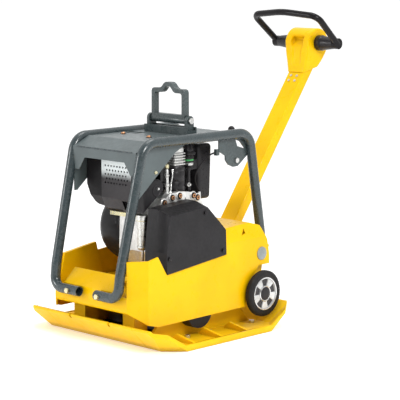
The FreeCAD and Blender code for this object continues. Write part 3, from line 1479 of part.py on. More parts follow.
def throttle_bracket(envelopes):
    """Gusset in the rear upper corner of the right hoop that carries the throttle lever."""
    plate = slab("bracket_plate", "yz", [
        ("127", "692"), ("127", "640"), ("160", "622"), ("161", "606"), ("176", "588"),
        ("200", "578"), ("226", "580"), ("286", "624"), ("280", "648"), ("252", "682"),
        ("222", "694"),
    ], "hoop_top_x - 14", "hoop_top_x - 9")
    opening = slab("bracket_opening", "yz", [
        ("212", "676"), ("236", "668"), ("262", "640"), ("222", "652"),
    ], "hoop_top_x - 30", "hoop_top_x + 10")
    pin_bore = rod("bracket_bore", "x", "5", ("throttle_x - 10", "throttle_y", "throttle_z"),
                   "50")
    clip = box("cable_stop", ("cable_x - 6", "116", "626"), ("hoop_top_x - 11", "131", "648"))
    clip_bore = rod("cable_stop_bore", "y", "cable_radius + 0.1", ("cable_x", "100", "637"), "40")
    solid = fuse("bracket_solid", cut("bracket_cut", plate, opening, pin_bore),
                 cut("cable_stop_cut", clip, clip_bore))
    return node(cut("throttle_bracket", solid, *envelopes), "throttle_bracket")


def throttle_pin():
    """Pivot bolt of the throttle lever."""
    pin = rod("throttle_pin_rod", "x", "5", ("throttle_x - 4", "throttle_y", "throttle_z"),
              "hoop_top_x - 4 - (throttle_x - 4)")
    head = hexagon("throttle_pin_head", "x", "17",
                   ("hoop_top_x - 9", "throttle_y", "throttle_z"), "7")
    return node(fuse("throttle_pin", pin, head), "throttle_pin")


def throttle_arm(name):
    """The flat arm of the throttle lever, as a solid and as the tool for its slot in the knob."""
    return slab(name, "yz", [
        ("throttle_y - 11", "throttle_z - 10"), ("throttle_y + 11", "throttle_z - 10"),
        ("throttle_y + 9", "throttle_z + 14"), ("throttle_knob_y + 7", "throttle_knob_z - 4"),
        ("throttle_knob_y - 7", "throttle_knob_z - 4"), ("throttle_y - 12", "throttle_z + 10"),
    ], "throttle_x - 2.5", "throttle_x + 2.5")


def throttle_lever():
    """Hand lever for the engine speed."""
    arm = throttle_arm("throttle_arm")
    boss = rod("throttle_boss", "x", "11", ("throttle_x - 4", "throttle_y", "throttle_z"), "11")
    bore = rod("throttle_bore", "x", "5 + running_fit",
               ("throttle_x - 10", "throttle_y", "throttle_z"), "40")
    return node(cut("throttle_lever", fuse("throttle_solid", arm, boss), bore), "throttle_lever")


def throttle_knob():
    """Round plastic knob on the throttle lever."""
    ball = turned("knob_ball", [
        ("-12.5", "0"), ("-12.5", "5"), ("-10", "8.5"), ("-5", "11.6"), ("0", "knob_radius"),
        ("5", "11.6"), ("9", "8.8"), ("12", "4"), ("12.5", "0"),
    ], "z")
    place(ball, ("throttle_x", "throttle_knob_y", "throttle_knob_z"))
    return node(cut("throttle_knob", ball, throttle_arm("knob_slot")), "throttle_knob")


def throttle_cable():
    """Bowden cable from the bracket's stop down to the engine's speed lever."""
    points = [
        (size("cable_x"), 131, 637), (size("cable_x"), 98, 637), (143, 73, 609), (122, 60, 574),
        (108, 64, 538),
        (102, 82, 512), (100, 96, 495),
    ]
    radii = []
    for index in range(1, len(points) - 1):
        before = Vector(*points[index]) - Vector(*points[index - 1])
        after = Vector(*points[index + 1]) - Vector(*points[index])
        turn = before.getAngle(after)
        radii.append(0.45 * min(before.Length, after.Length) / math.tan(turn / 2))
    cable = tube("throttle_cable", points, radii, size("cable_radius"))
    return node(cable, "throttle_cable")


# ---------------------------------------------------------------- drawbar

def lean(piece):
    """Stand a piece that was drawn along Z on the drawbar's pivot, leaning back."""
    piece.Placement = Placement(Vector(0, size("pivot_y"), size("pivot_z")),
                                Rotation(Vector(1, 0, 0), -size("pole_lean")))
    piece.setExpression("Placement.Base.y", formula("pivot_y"))
    piece.setExpression("Placement.Base.z", formula("pivot_z"))
    piece.setExpression("Placement.Rotation.Angle", formula("-pole_lean"))
    return piece


def pole_bracket():
    """Hinge bracket on the rear wall with two cheeks and a stop block."""
    base = box("bracket_base", ("-64", "hull_rear", "bracket_low"),
               ("64", "bracket_back", "bracket_high"))
    cheeks = []
    for low, high in (("cheek_inner", "cheek_outer"), ("-cheek_outer", "-cheek_inner")):
        cheeks.append(slab(f"cheek{len(cheeks)}", "yz", [
            ("bracket_back - 1", "bracket_low + 6"), ("pivot_y + 12", "pivot_z - 20"),
            ("pivot_y + 24", "pivot_z - 8"), ("pivot_y + 24", "pivot_z + 8"),
            ("pivot_y + 10", "pivot_z + 22"), ("bracket_back - 1", "bracket_high - 6"),
        ], low, high))
    bore = rod("bracket_pin_bore", "x", "pole_pin_radius", ("-70", "pivot_y", "pivot_z"), "140")
    return node(cut("pole_bracket", fuse("pole_bracket_solid", base, *cheeks), bore),
                "pole_bracket")


def pole_pin():
    """Hinge pin of the drawbar."""
    pin = rod("pole_pin_rod", "x", "pole_pin_radius", ("-pole_pin_half", "pivot_y", "pivot_z"),
              "2 * pole_pin_half")
    heads = [rod(f"pole_pin_head{index}", "x", "15", (start, "pivot_y", "pivot_z"), "6")
             for index, start in enumerate(("cheek_outer", "-cheek_outer - 6"))]
    return node(fuse("pole_pin", pin, *heads), "pole_pin")


def pole():
    """Hollow box drawbar with two bushed side walls at its foot."""
    outer = box("pole_outer", ("-pole_half_width", "-pole_half_depth", "pole_foot"),
                ("pole_half_width", "pole_half_depth", "pole_top"))
    soft = rounded("pole_soft", outer, 5, along("z"))
    inner = box("pole_inner", ("-pole_half_width + pole_wall", "-pole_half_depth + pole_wall",
                               "pole_foot - 1"),
                ("pole_half_width - pole_wall", "pole_half_depth - pole_wall",
                 "pole_top - pole_wall"))
    bore = rod("pole_bore", "x", "pole_pin_radius + 3", ("-60", "0", "0"), "120")
    return node(lean(cut("pole", soft, inner, bore)), "pole")


def pole_bushes():
    """Two bearing bushes pressed into the drawbar's foot."""
    bushes = []
    for start in ("pole_half_width - 14", "-pole_half_width"):
        name = f"pole_bush{len(bushes)}"
        ring = rod(name, "x", "pole_pin_radius + 3", (start, "0", "0"), "14")
        hole = rod(name + "_bore", "x", "pole_pin_radius + running_fit",
                   (f"({start}) - 1", "0", "0"),
                   "16")
        bushes.append(cut(name + "_ring", ring, hole))
    return node(lean(group("pole_bushes", bushes)), "pole_bushes")


def pole_head():
    """Cast head: a barrel for the handle shaft that runs down into the drawbar."""
    side = slab("pole_head_side", "yz", [
        ("-pole_half_depth - 2", "head_low"), ("pole_half_depth + 2", "head_low + 60"),
        ("pole_half_depth + 2", "head_reach"), ("head_shift + head_radius - 5", "head_reach + 24"),
        ("head_shift", "head_reach"), ("head_shift - head_radius", "head_reach"),
        ("head_shift - head_radius + 2", "head_reach - 26"),
        ("-pole_half_depth - 26", "head_low + 44"),
        ("-pole_half_depth - 8", "head_low + 14"),
    ], "-head_half_width", "head_half_width")
    barrel = rod("pole_head_barrel", "x", "head_radius",
                 ("-head_half_width", "head_shift", "head_reach"),
                 "2 * head_half_width")
    taper = slab("pole_head_taper", "xz", both_sides([
        ("pole_half_width + 1", "head_low - 5"), ("pole_half_width + 3", "head_low + 10"),
        ("head_half_width - 6", "head_low + 60"), ("head_half_width", "head_low + 96"),
        ("head_half_width", "head_reach + 70"),
    ]), "-60", "120")
    pocket = slab("pole_head_pocket", "xz", both_sides([
        ("8", "head_low + 26"), ("20", "head_low + 44"), ("30", "head_reach - 26"),
        ("30", "head_reach - 6"),
    ]), "-head_shift + head_radius - 22", "-head_shift + head_radius + 20")
    pocket_low = slab("pole_head_pocket_low", "yz", [
        ("-pole_half_depth - 12", "head_low + 26"), ("-pole_half_depth - 50", "head_low + 26"),
        ("-110", "head_reach - 40"), ("head_shift - head_radius + 22", "head_reach - 40"),
    ], "-20", "20")
    envelope = box("pole_envelope", ("-pole_half_width", "-pole_half_depth", "pole_foot"),
                   ("pole_half_width", "pole_half_depth", "pole_top"))
    bore = rod("pole_head_bore", "x", "handle_pin_radius + running_fit",
               ("-80", "head_shift", "head_reach"), "160")
    room = common("pole_head_room",
                  rod("pole_head_room_round", "x", "head_radius - 10",
                      ("-head_half_width + 14", "head_shift", "head_reach"),
                      "2 * head_half_width - 28"),
                  box("pole_head_room_box", ("-head_half_width", "-60", "head_reach - 38"),
                      ("head_half_width", "10", "head_reach + 38")))
    solid = common("pole_head_solid", fuse("pole_head_mass", side, barrel), taper)
    shape = cut("pole_head", solid, pocket, pocket_low, envelope, bore, room)
    return node(lean(shape), "pole_head")


def pole_screws():
    """Four screws through the drawbar's front face into the head's tongue."""
    screws = []
    for across in ("-15", "15"):
        for height in ("head_low - 34", "head_low - 12"):
            screws.append(rod(f"pole_screw{len(screws)}", "y", "5",
                              (across, "-pole_half_depth - 3.5", height), "3.5"))
    return node(lean(group("pole_screws", screws)), "pole_screws")


def grip(piece):
    """Stand a piece drawn in the handle's own frame on the handle axis in the head."""
    tilt = Placement(Vector(0, size("head_shift"), size("head_reach")),
                     Rotation(Vector(1, 0, 0), size("loop_lean") + size("pole_lean")))
    lean_back = Placement(Vector(0, size("pivot_y"), size("pivot_z")),
                          Rotation(Vector(1, 0, 0), -size("pole_lean")))
    piece.Placement = lean_back.multiply(tilt)
    return piece


def on_handle_axis(piece):
    """Bring a piece made about the X axis onto the handle axis in the head."""
    angle = math.radians(size("pole_lean"))
    reach = size("head_shift") * math.cos(angle) + size("head_reach") * math.sin(angle)
    height = size("head_reach") * math.cos(angle) - size("head_shift") * math.sin(angle)
    piece.setExpression("Placement.Base.y", formula(f"pivot_y + {round(reach, 4)}"))
    piece.setExpression("Placement.Base.z", formula(f"pivot_z + {round(height, 4)}"))
    return piece


def handle_shaft():
    """Shaft through the head with a conical boss at each side, which carry the loop's arms."""
    shaft = rod("handle_shaft_rod", "x", "handle_pin_radius", ("-boss_outer", "0", "0"),
                "2 * boss_outer")
    boss = turned("handle_boss_right", [
        ("boss_inner", "0"), ("boss_inner", "boss_big_radius"),
        ("boss_inner + 20", "boss_big_radius"), ("boss_inner + 28", "boss_big_radius - 3"),
        ("boss_outer", "boss_small_radius"), ("boss_outer", "0"),
    ])
    solid = fuse("handle_shaft", shaft, boss, mirrored("handle_boss_left", boss))
    return node(on_handle_axis(solid), "handle_shaft")


def control_handle():
    """Closed loop handle: two arms and a bowed grip bar, bent from one tube."""
    root = size("loop_root_half")
    corner = size("loop_corner_half")
    arm = size("loop_arm")
    bow = size("loop_bow")
    points = [(root, 0, -6), (corner, 0, arm), (0, 0, bow), (-corner, 0, arm), (-root, 0, -6)]
    corner_radius = size("loop_corner_radius")
    loop = tube("handle_loop", points, [corner_radius, size("loop_bow_radius"), corner_radius],
                size("loop_tube_radius"), size("loop_tube_bore"))
    lugs = [rod(f"handle_lug{index}", "x", "boss_small_radius", (start, "0", "0"),
                "loop_root_half - boss_outer + 10")
            for index, start in enumerate(("boss_outer", "-loop_root_half - 10"))]
    return node(grip(fuse("control_handle", loop, *lugs)), "control_handle")


# ---------------------------------------------------------------- wheels

def wheel_axle():
    """Fixed axle across the rear of the upper body."""
    axle = rod("wheel_axle", "x", "axle_radius", ("-wheel_face + 6", "wheel_y", "wheel_z"),
               "2 * wheel_face - 12")
    return node(axle, "wheel_axle")


def tyre(side):
    """Solid rubber tyre with rounded shoulders."""
    name = f"tyre_{side}"
    ring = turned(name + "_turn", [
        ("wheel_inner", "rim_radius"), ("wheel_inner", "tyre_radius - 12"),
        ("wheel_inner + 4", "tyre_radius - 4"), ("wheel_inner + 10", "tyre_radius"),
        ("wheel_face - 7", "tyre_radius"), ("wheel_face - 2", "tyre_radius - 5"),
        ("wheel_face", "tyre_radius - 12"), ("wheel_face - 1", "rim_radius"),
    ])
    if side == "left":
        ring = mirrored(name + "_mirror", ring)
    return node(place(ring, ("0", "wheel_y", "wheel_z")), name)


def wheel_rim(side):
    """Rim with ten pockets around the hub."""
    name = f"wheel_rim_{side}"
    disc = turned(name + "_turn", [
        ("wheel_inner + 1", "axle_radius + running_fit"), ("wheel_inner + 1", "rim_radius"),
        ("wheel_face - 1", "rim_radius"), ("wheel_face - 1", "rim_radius - 5"),
        ("wheel_face - 8", "rim_radius - 7"), ("wheel_face - 8", "hub_radius + 6"),
        ("wheel_face - 2", "hub_radius + 4"), ("wheel_face - 2", "axle_radius + running_fit"),
    ])
    pockets = []
    for index in range(5):
        tool = slab(f"{name}_pocket{index}", "yz", [
            ("31", "-7"), ("48", "-12"), ("50", "0"), ("48", "12"), ("31", "7"),
        ], "wheel_face - 22", "wheel_face")
        tool.Placement = Placement(Vector(), Rotation(Vector(1, 0, 0), 72 * index + 18))
        pockets.append(tool)
    solid = cut(name + "_solid", disc, *pockets)
    if side == "left":
        solid = mirrored(name + "_mirror", solid)
    return node(place(solid, ("0", "wheel_y", "wheel_z")), name)


# ---------------------------------------------------------------- assembly

blank = plate_blank("plate_blank")
base_plate(blank)
extension_plates(blank)
bolts_and_screws()
rubber_mounts()
exciter_housing()
exciter_bearings()
exciter_end_covers()
for end in ("front", "rear"):
    eccentric_shaft(end)
    timing_gear(end)
exciter_pulley()
clutch_pulley()
drive_belt()
belt_guard()
upper_body()
side_plug()
crankcase()
clutch_flange()
crankshaft()
flywheel()
flywheel_housing()
cylinder()
cylinder_head()
rocker_cover()
muffler()
muffler_guard()
air_filter()
fuel_filter()
filter_bracket()
fuel_tank()
fuel_cap()
dipstick()
governor_lever()
belt_cover()
envelopes = build_hoops()
top_cover(envelopes)
lift_base()
lift_pin()
lifting_frame()
throttle_bracket(envelopes)
throttle_pin()
throttle_lever()
throttle_knob()
throttle_cable()
pole_bracket()
pole_pin()
pole()
pole_bushes()
pole_head()
pole_screws()
handle_shaft()
control_handle()
wheel_axle()
for side in ("right", "left"):
    tyre(side)
    wheel_rim(side)

doc.recompute()
failed = [item.Name for item in doc.Objects if "Invalid" in item.State or "Error" in item.State]
if failed:
    raise RuntimeError(f"these objects failed to build: {failed}")
for piece in NODES:
    if piece.Shape.isNull() or not piece.Shape.isValid():
        raise RuntimeError(f"{piece.Label} has no valid shape")

os.makedirs("parts", exist_ok=True)
for piece in NODES:
    piece.Shape.exportStep(os.path.join("parts", piece.Label + ".step"))
    print(f"{piece.Label}: {len(piece.Shape.Solids)} solid, {piece.Shape.Volume / 1000:.1f} cm3")
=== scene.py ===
import math

import bmesh
import bpy
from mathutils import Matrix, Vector


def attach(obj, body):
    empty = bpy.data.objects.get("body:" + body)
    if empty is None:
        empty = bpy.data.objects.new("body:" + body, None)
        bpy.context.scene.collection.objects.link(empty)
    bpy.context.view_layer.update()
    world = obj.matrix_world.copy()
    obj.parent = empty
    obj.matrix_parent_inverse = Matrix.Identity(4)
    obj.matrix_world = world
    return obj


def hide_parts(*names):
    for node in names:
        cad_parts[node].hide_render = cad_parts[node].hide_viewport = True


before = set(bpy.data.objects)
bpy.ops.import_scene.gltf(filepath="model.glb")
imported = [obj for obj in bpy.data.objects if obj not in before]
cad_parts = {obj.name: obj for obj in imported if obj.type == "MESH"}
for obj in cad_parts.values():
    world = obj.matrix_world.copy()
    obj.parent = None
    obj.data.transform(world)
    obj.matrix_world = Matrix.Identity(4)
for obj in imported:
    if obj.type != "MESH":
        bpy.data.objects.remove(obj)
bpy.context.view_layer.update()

MM = 0.001


# ---------------------------------------------------------------- material kit

EDGE_SAMPLES = 4
CREVICE_SAMPLES = 6
# How far the softened normal agrees with the true one on an open face and on a sharp edge.
OPEN_FACE, SHARP_EDGE = 0.985, 0.86
# The part of a noise pattern's range that carries most of its change.
MID_NOISE = (0.3, 0.7)
WHITE = (1.0, 1.0, 1.0, 1.0)


class Shader:
    """A Principled material under construction; lengths are in metres."""

    def __init__(self, name, roughness, metallic=0.0):
        self.material = bpy.data.materials.new(name)
        self.material.use_nodes = True
        self.tree = self.material.node_tree
        self.main = self.tree.nodes["Principled BSDF"]
        self.set("Roughness", roughness)
        self.set("Metallic", metallic)
        self.place = self.node("ShaderNodeTexCoord").outputs["Object"]

    def node(self, kind, **values):
        """A new node with its properties set."""
        made = self.tree.nodes.new(kind)
        for key, value in values.items():
            setattr(made, key, value)
        return made

    def join(self, source, target):
        self.tree.links.new(source, target)

    def set(self, socket, value):
        self.main.inputs[socket].default_value = value

    def coordinates(self):
        """The X, Y and Z of the place on the object."""
        made = self.node("ShaderNodeSeparateXYZ")
        self.join(self.place, made.inputs[0])
        return made.outputs

    def noise(self, scale, detail, rough=0.55, stretch=None):
        """A noise pattern over the object."""
        made = self.node("ShaderNodeTexNoise")
        made.inputs["Scale"].default_value = scale
        made.inputs["Detail"].default_value = detail
        made.inputs["Roughness"].default_value = rough
        self.join(self.stretched(stretch), made.inputs["Vector"])
        return made.outputs["Fac"]

    def cells(self, scale, feature="F1"):
        """A pattern of small cells over the object."""
        made = self.node("ShaderNodeTexVoronoi", feature=feature)
        made.inputs["Scale"].default_value = scale
        self.join(self.place, made.inputs["Vector"])
        return made.outputs["Distance"]

    def stretched(self, stretch):
        """The place on the object, scaled differently along each axis if asked."""
        if stretch is None:
            return self.place
        made = self.node("ShaderNodeMapping")
        made.inputs["Scale"].default_value = stretch
        self.join(self.place, made.inputs["Vector"])
        return made.outputs["Vector"]

    def span(self, source, low, high, low_out=0.0, high_out=1.0):
        """Map a range of a pattern smoothly on to another range."""
        made = self.node("ShaderNodeMapRange", interpolation_type="SMOOTHSTEP")
        made.inputs["From Min"].default_value = low
        made.inputs["From Max"].default_value = high
        made.inputs["To Min"].default_value = low_out
        made.inputs["To Max"].default_value = high_out
        self.join(source, made.inputs["Value"])
        return made.outputs["Result"]

    def mix(self, factor, first, second):
        """Two colours, each plain or from a socket, mixed by a factor's socket."""
        made = self.node("ShaderNodeMix", data_type="RGBA")
        self.join(factor, made.inputs[0])
        targets = [item for item in made.inputs if item.type == "RGBA"]
        for target, value in zip(targets, (first, second)):
            if isinstance(value, bpy.types.NodeSocket):
                self.join(value, target)
            else:
                target.default_value = (*value, 1.0)
        return next(item for item in made.outputs if item.type == "RGBA")

    def maths(self, operation, first, second):
        """A sum or product of two values, each plain or from a socket."""
        made = self.node("ShaderNodeMath", operation=operation)
        for target, value in zip(made.inputs, (first, second)):
            if isinstance(value, bpy.types.NodeSocket):
                self.join(value, target)
            else:
                target.default_value = value
        return made.outputs["Value"]

    def edges(self, radius):
        """Bright where an edge is within the radius, dark on open faces."""
        soft = self.node("ShaderNodeBevel", samples=EDGE_SAMPLES)
        soft.inputs["Radius"].default_value = radius
        true = self.node("ShaderNodeNewGeometry")
        dot = self.node("ShaderNodeVectorMath", operation="DOT_PRODUCT")
        self.join(soft.outputs["Normal"], dot.inputs[0])
        self.join(true.outputs["Normal"], dot.inputs[1])
        return self.span(dot.outputs["Value"], OPEN_FACE, SHARP_EDGE)

    def painted_crevice_shade(self, reach):
        """Painted shade: dark in corners and folds."""
        made = self.node("ShaderNodeAmbientOcclusion", samples=CREVICE_SAMPLES)
        made.inputs["Distance"].default_value = reach
        return made.outputs["AO"]

    def spangle(self):
        """The crystal pattern of zinc plating."""
        return self.span(self.cells(210.0), 0.2, 0.75)

    def clouds(self, colour, spread, shades, **pattern):
        """A colour that drifts between two shades of itself in a noise pattern."""
        dark, light = shades
        return self.mix(self.span(self.noise(**pattern), *spread), shade(colour, dark),
                        shade(colour, light))

    def folds(self, tint, shade_colour, reach, spread):
        """A tint that turns to a darker colour in corners and folds: painted shade."""
        return self.mix(self.span(self.painted_crevice_shade(reach), *spread), shade_colour, tint)

    def wear_and_highlight_on_edges(self, tint, edge_colour, radius, amount, chips=None):
        """A tint that turns to another colour along edges, in chips where a pattern is given; on
        the enamels this is chipped wear, on the moulded plastics a painted highlight.
        """
        edges = self.edges(radius)
        if chips is not None:
            edges = self.maths("MULTIPLY", edges, chips)
        return self.mix(self.maths("MULTIPLY", edges, amount), tint, edge_colour)

    def colour(self, source):
        self.join(source, self.main.inputs["Base Color"])

    def roughness(self, source, low, high, spread=MID_NOISE):
        """Roughness between two values, following a pattern."""
        self.join(self.span(source, *spread, low, high), self.main.inputs["Roughness"])

    def bump(self, *layers):
        """Bump layers as (height, depth)."""
        last = None
        for height, depth in layers:
            made = self.node("ShaderNodeBump")
            made.inputs["Strength"].default_value = 1.0
            made.inputs["Distance"].default_value = depth
            self.join(height, made.inputs["Height"])
            if last is not None:
                self.join(last, made.inputs["Normal"])
            last = made.outputs["Normal"]
        self.join(last, self.main.inputs["Normal"])


def shade(colour, factor):
    """The same colour, lighter or darker."""
    return tuple(min(1.0, value * factor) for value in colour)


def grey(value):
    """A neutral colour."""
    return (value, value, value)


def enamel(name, colour, rough, wear=0.0, edge_wear_and_highlight=None, peel=0.00006, dust=0.10):
    """Sprayed machine enamel: orange peel, faint cloudiness, painted shade in its folds, settled
    dust and chipped edges.
    """
    made = Shader(name, rough)
    tint = made.clouds(colour, spread=(0.35, 0.65), shades=(0.94, 1.05), scale=7.0, detail=4.0)
    # Painted shade: the enamel turns darker in corners and folds.
    tint = made.folds(tint, shade(colour, 0.62), reach=0.025, spread=(0.25, 0.9))
    if wear:
        chips = made.span(made.noise(160.0, detail=5.0, rough=0.7), 0.56, 0.70)
        tint = made.wear_and_highlight_on_edges(tint, edge_wear_and_highlight, radius=0.0022, amount=wear, chips=chips)
    made.colour(tint)
    made.roughness(made.noise(34.0, detail=5.0, rough=0.65), rough, rough + dust,
                   spread=(0.3, 0.75))
    made.bump((made.noise(420.0, detail=2.0), peel), (made.noise(24.0, detail=2.0), 0.00012))
    made.set("Coat Weight", 0.06)
    made.set("Coat Roughness", 0.08)
    made.set("Specular IOR Level", 0.12)
    return made.material


def powder(name, colour, rough, peel, gloss):
    """Powder coat with a fine pebbled skin and painted shade in its folds."""
    made = Shader(name, rough)
    tint = made.clouds(colour, spread=(0.35, 0.68), shades=(0.90, 1.08), scale=11.0, detail=4.0)
    # Painted shade: the coat turns darker in corners and folds.
    made.colour(made.folds(tint, shade(colour, 0.55), reach=0.02, spread=(0.2, 0.9)))
    made.roughness(made.noise(60.0, detail=4.0), rough - 0.05, rough + 0.10)
    made.bump((made.cells(900.0, "SMOOTH_F1"), peel), (made.noise(30.0, detail=2.0), 0.00004))
    made.set("Specular IOR Level", gloss)
    return made.material


def moulded(name, colour, rough, grain=0.00008, grain_scale=900.0, gloss=0.25, edge_wear_and_highlight=0.0):
    """Injection-moulded plastic with a spark-eroded grain and a painted highlight, much paler,
    along its edges.
    """
    made = Shader(name, rough)
    tint = made.clouds(colour, spread=(0.35, 0.7), shades=(0.85, 1.2), scale=16.0, detail=4.0)
    # Painted highlight: the plastic turns far paler along its edges.
    if edge_wear_and_highlight:
        tint = made.wear_and_highlight_on_edges(tint, shade(colour, 7.0), radius=0.0016, amount=edge_wear_and_highlight)
    made.colour(tint)
    made.roughness(made.noise(80.0, detail=4.0, rough=0.6), rough - 0.07, rough + 0.12)
    made.bump((made.noise(grain_scale, detail=3.0, rough=0.6), grain),
              (made.noise(18.0, detail=2.0), 0.00025))
    made.set("Specular IOR Level", gloss)
    return made.material


def rubber(name, colour, rough=0.72):
    """Vulcanised rubber with a dusty bloom and a faint mould texture."""
    made = Shader(name, rough)
    made.colour(made.clouds(colour, spread=(0.4, 0.75), shades=(1.0, 1.7), scale=22.0,
                            detail=5.0, rough=0.7))
    made.roughness(made.noise(120.0, detail=4.0), rough - 0.08, rough + 0.12)
    made.bump((made.noise(650.0, detail=3.0), 0.00012), (made.noise(60.0, detail=3.0), 0.00025))
    made.set("Specular IOR Level", 0.2)
    return made.material


def plated(name, colour, rough=0.30, second=None):
    """Plating: a metal with a cloudy spangle of two colours and fine scratches."""
    made = Shader(name, rough, metallic=1.0)
    made.colour(made.mix(made.spangle(), colour, second or shade(colour, 0.78)))
    made.roughness(made.noise(240.0, detail=4.0), rough - 0.08, rough + 0.16)
    scratches = made.noise(500.0, detail=2.0, rough=0.5, stretch=(1.0, 0.15, 1.0))
    made.bump((scratches, 0.00004))
    return made.material


def casting(name, colour, rough, metallic):
    """Sand or die casting: pebbled skin, brighter on the edges, with painted shade darkening the
    pockets.
    """
    made = Shader(name, rough, metallic)
    tint = made.clouds(colour, spread=(0.35, 0.7), shades=(0.8, 1.12), scale=30.0, detail=5.0,
                       rough=0.65)
    # Painted shade: the casting turns darker in its pockets and corners.
    tint = made.folds(tint, shade(colour, 0.42), reach=0.012, spread=(0.2, 0.85))
    made.colour(made.wear_and_highlight_on_edges(tint, shade(colour, 1.35), radius=0.0015, amount=0.5))
    made.roughness(made.noise(90.0, detail=4.0), rough - 0.10, rough + 0.15)
    made.bump((made.noise(260.0, detail=4.0, rough=0.65), 0.00035), (made.cells(900.0), 0.00008))
    return made.material


def machined(name, colour, rough=0.32):
    """Turned or ground metal with fine tool marks."""
    made = Shader(name, rough, metallic=1.0)
    marks = made.noise(90.0, detail=3.0, rough=0.6, stretch=(14.0, 1.0, 1.0))
    made.colour(made.mix(made.span(marks, *MID_NOISE), shade(colour, 0.82), shade(colour, 1.1)))
    made.roughness(marks, rough - 0.08, rough + 0.12)
    made.bump((marks, 0.00005))
    return made.material


def heat_shield(name, low, high):
    """Aluminised sheet with a painted reflection by height: dark below one height, bright above
    another.
    """
    made = Shader(name, 0.38, metallic=0.55)
    waviness = made.maths("MULTIPLY", made.noise(38.0, detail=4.0), 0.012)
    # Painted reflection: the sheet is painted dark below the lower height and bright above the
    # higher one.
    level = made.span(made.maths("ADD", made.coordinates()["Z"], waviness), low, high)
    made.colour(made.mix(level, (0.035, 0.032, 0.034), (0.62, 0.66, 0.66)))
    made.roughness(made.noise(70.0, detail=4.0), 0.32, 0.5)
    made.bump((made.noise(300.0, detail=3.0), 0.00008))
    return made.material


# Where one node's fasteners change their plating, as short spans along an axis.
ENGINE_FROM_Z = (0.455, 0.460)
FRONT_FROM_Y = (-0.370, -0.374)
COVER_FROM_X = (0.2605, 0.2615)
COVER_FROM_Z = (0.270, 0.275)


def fastener_plating(name):
    """Plated fasteners: copper-coloured on the engine, yellow at the front, black on the cover."""
    made = Shader(name, 0.32, metallic=1.0)
    place = made.coordinates()
    spangle = made.spangle()
    zinc = made.mix(spangle, (0.78, 0.78, 0.76), (0.60, 0.60, 0.59))
    copper = made.mix(spangle, (0.85, 0.42, 0.20), (0.62, 0.30, 0.14))
    yellow = made.mix(spangle, (0.80, 0.70, 0.36), (0.62, 0.58, 0.42))
    black = made.mix(spangle, (0.030, 0.028, 0.030), (0.045, 0.043, 0.045))
    tint = made.mix(made.span(place["Z"], *ENGINE_FROM_Z), zinc, copper)
    tint = made.mix(made.span(place["Y"], *FRONT_FROM_Y), tint, yellow)
    on_cover = made.maths("MULTIPLY", made.span(place["X"], *COVER_FROM_X),
                          made.span(place["Z"], *COVER_FROM_Z))
    made.colour(made.mix(on_cover, tint, black))
    made.roughness(made.noise(240.0, detail=4.0), 0.24, 0.48)
    made.bump((made.noise(500.0, detail=2.0), 0.00004))
    return made.material


def studio_ground(name):
    """Pale studio floor with a faint glow of its own."""
    made = Shader(name, 0.85)
    patches = made.span(made.noise(1.5, detail=2.0), *MID_NOISE)
    made.colour(made.mix(patches, grey(0.90), grey(0.93)))
    made.bump((made.noise(60.0, detail=2.0), 0.0001))
    made.set("Emission Color", WHITE)
    made.set("Emission Strength", 0.30)
    return made.material


YELLOW = (0.86, 0.495, 0.0008)
WORKED_YELLOW = (0.88, 0.53, 0.006)
SLATE = (0.034, 0.048, 0.052)
ROOF_SLATE = (0.090, 0.112, 0.115)
BAIL_SLATE = (0.046, 0.062, 0.064)
ZINC = (0.78, 0.78, 0.76)

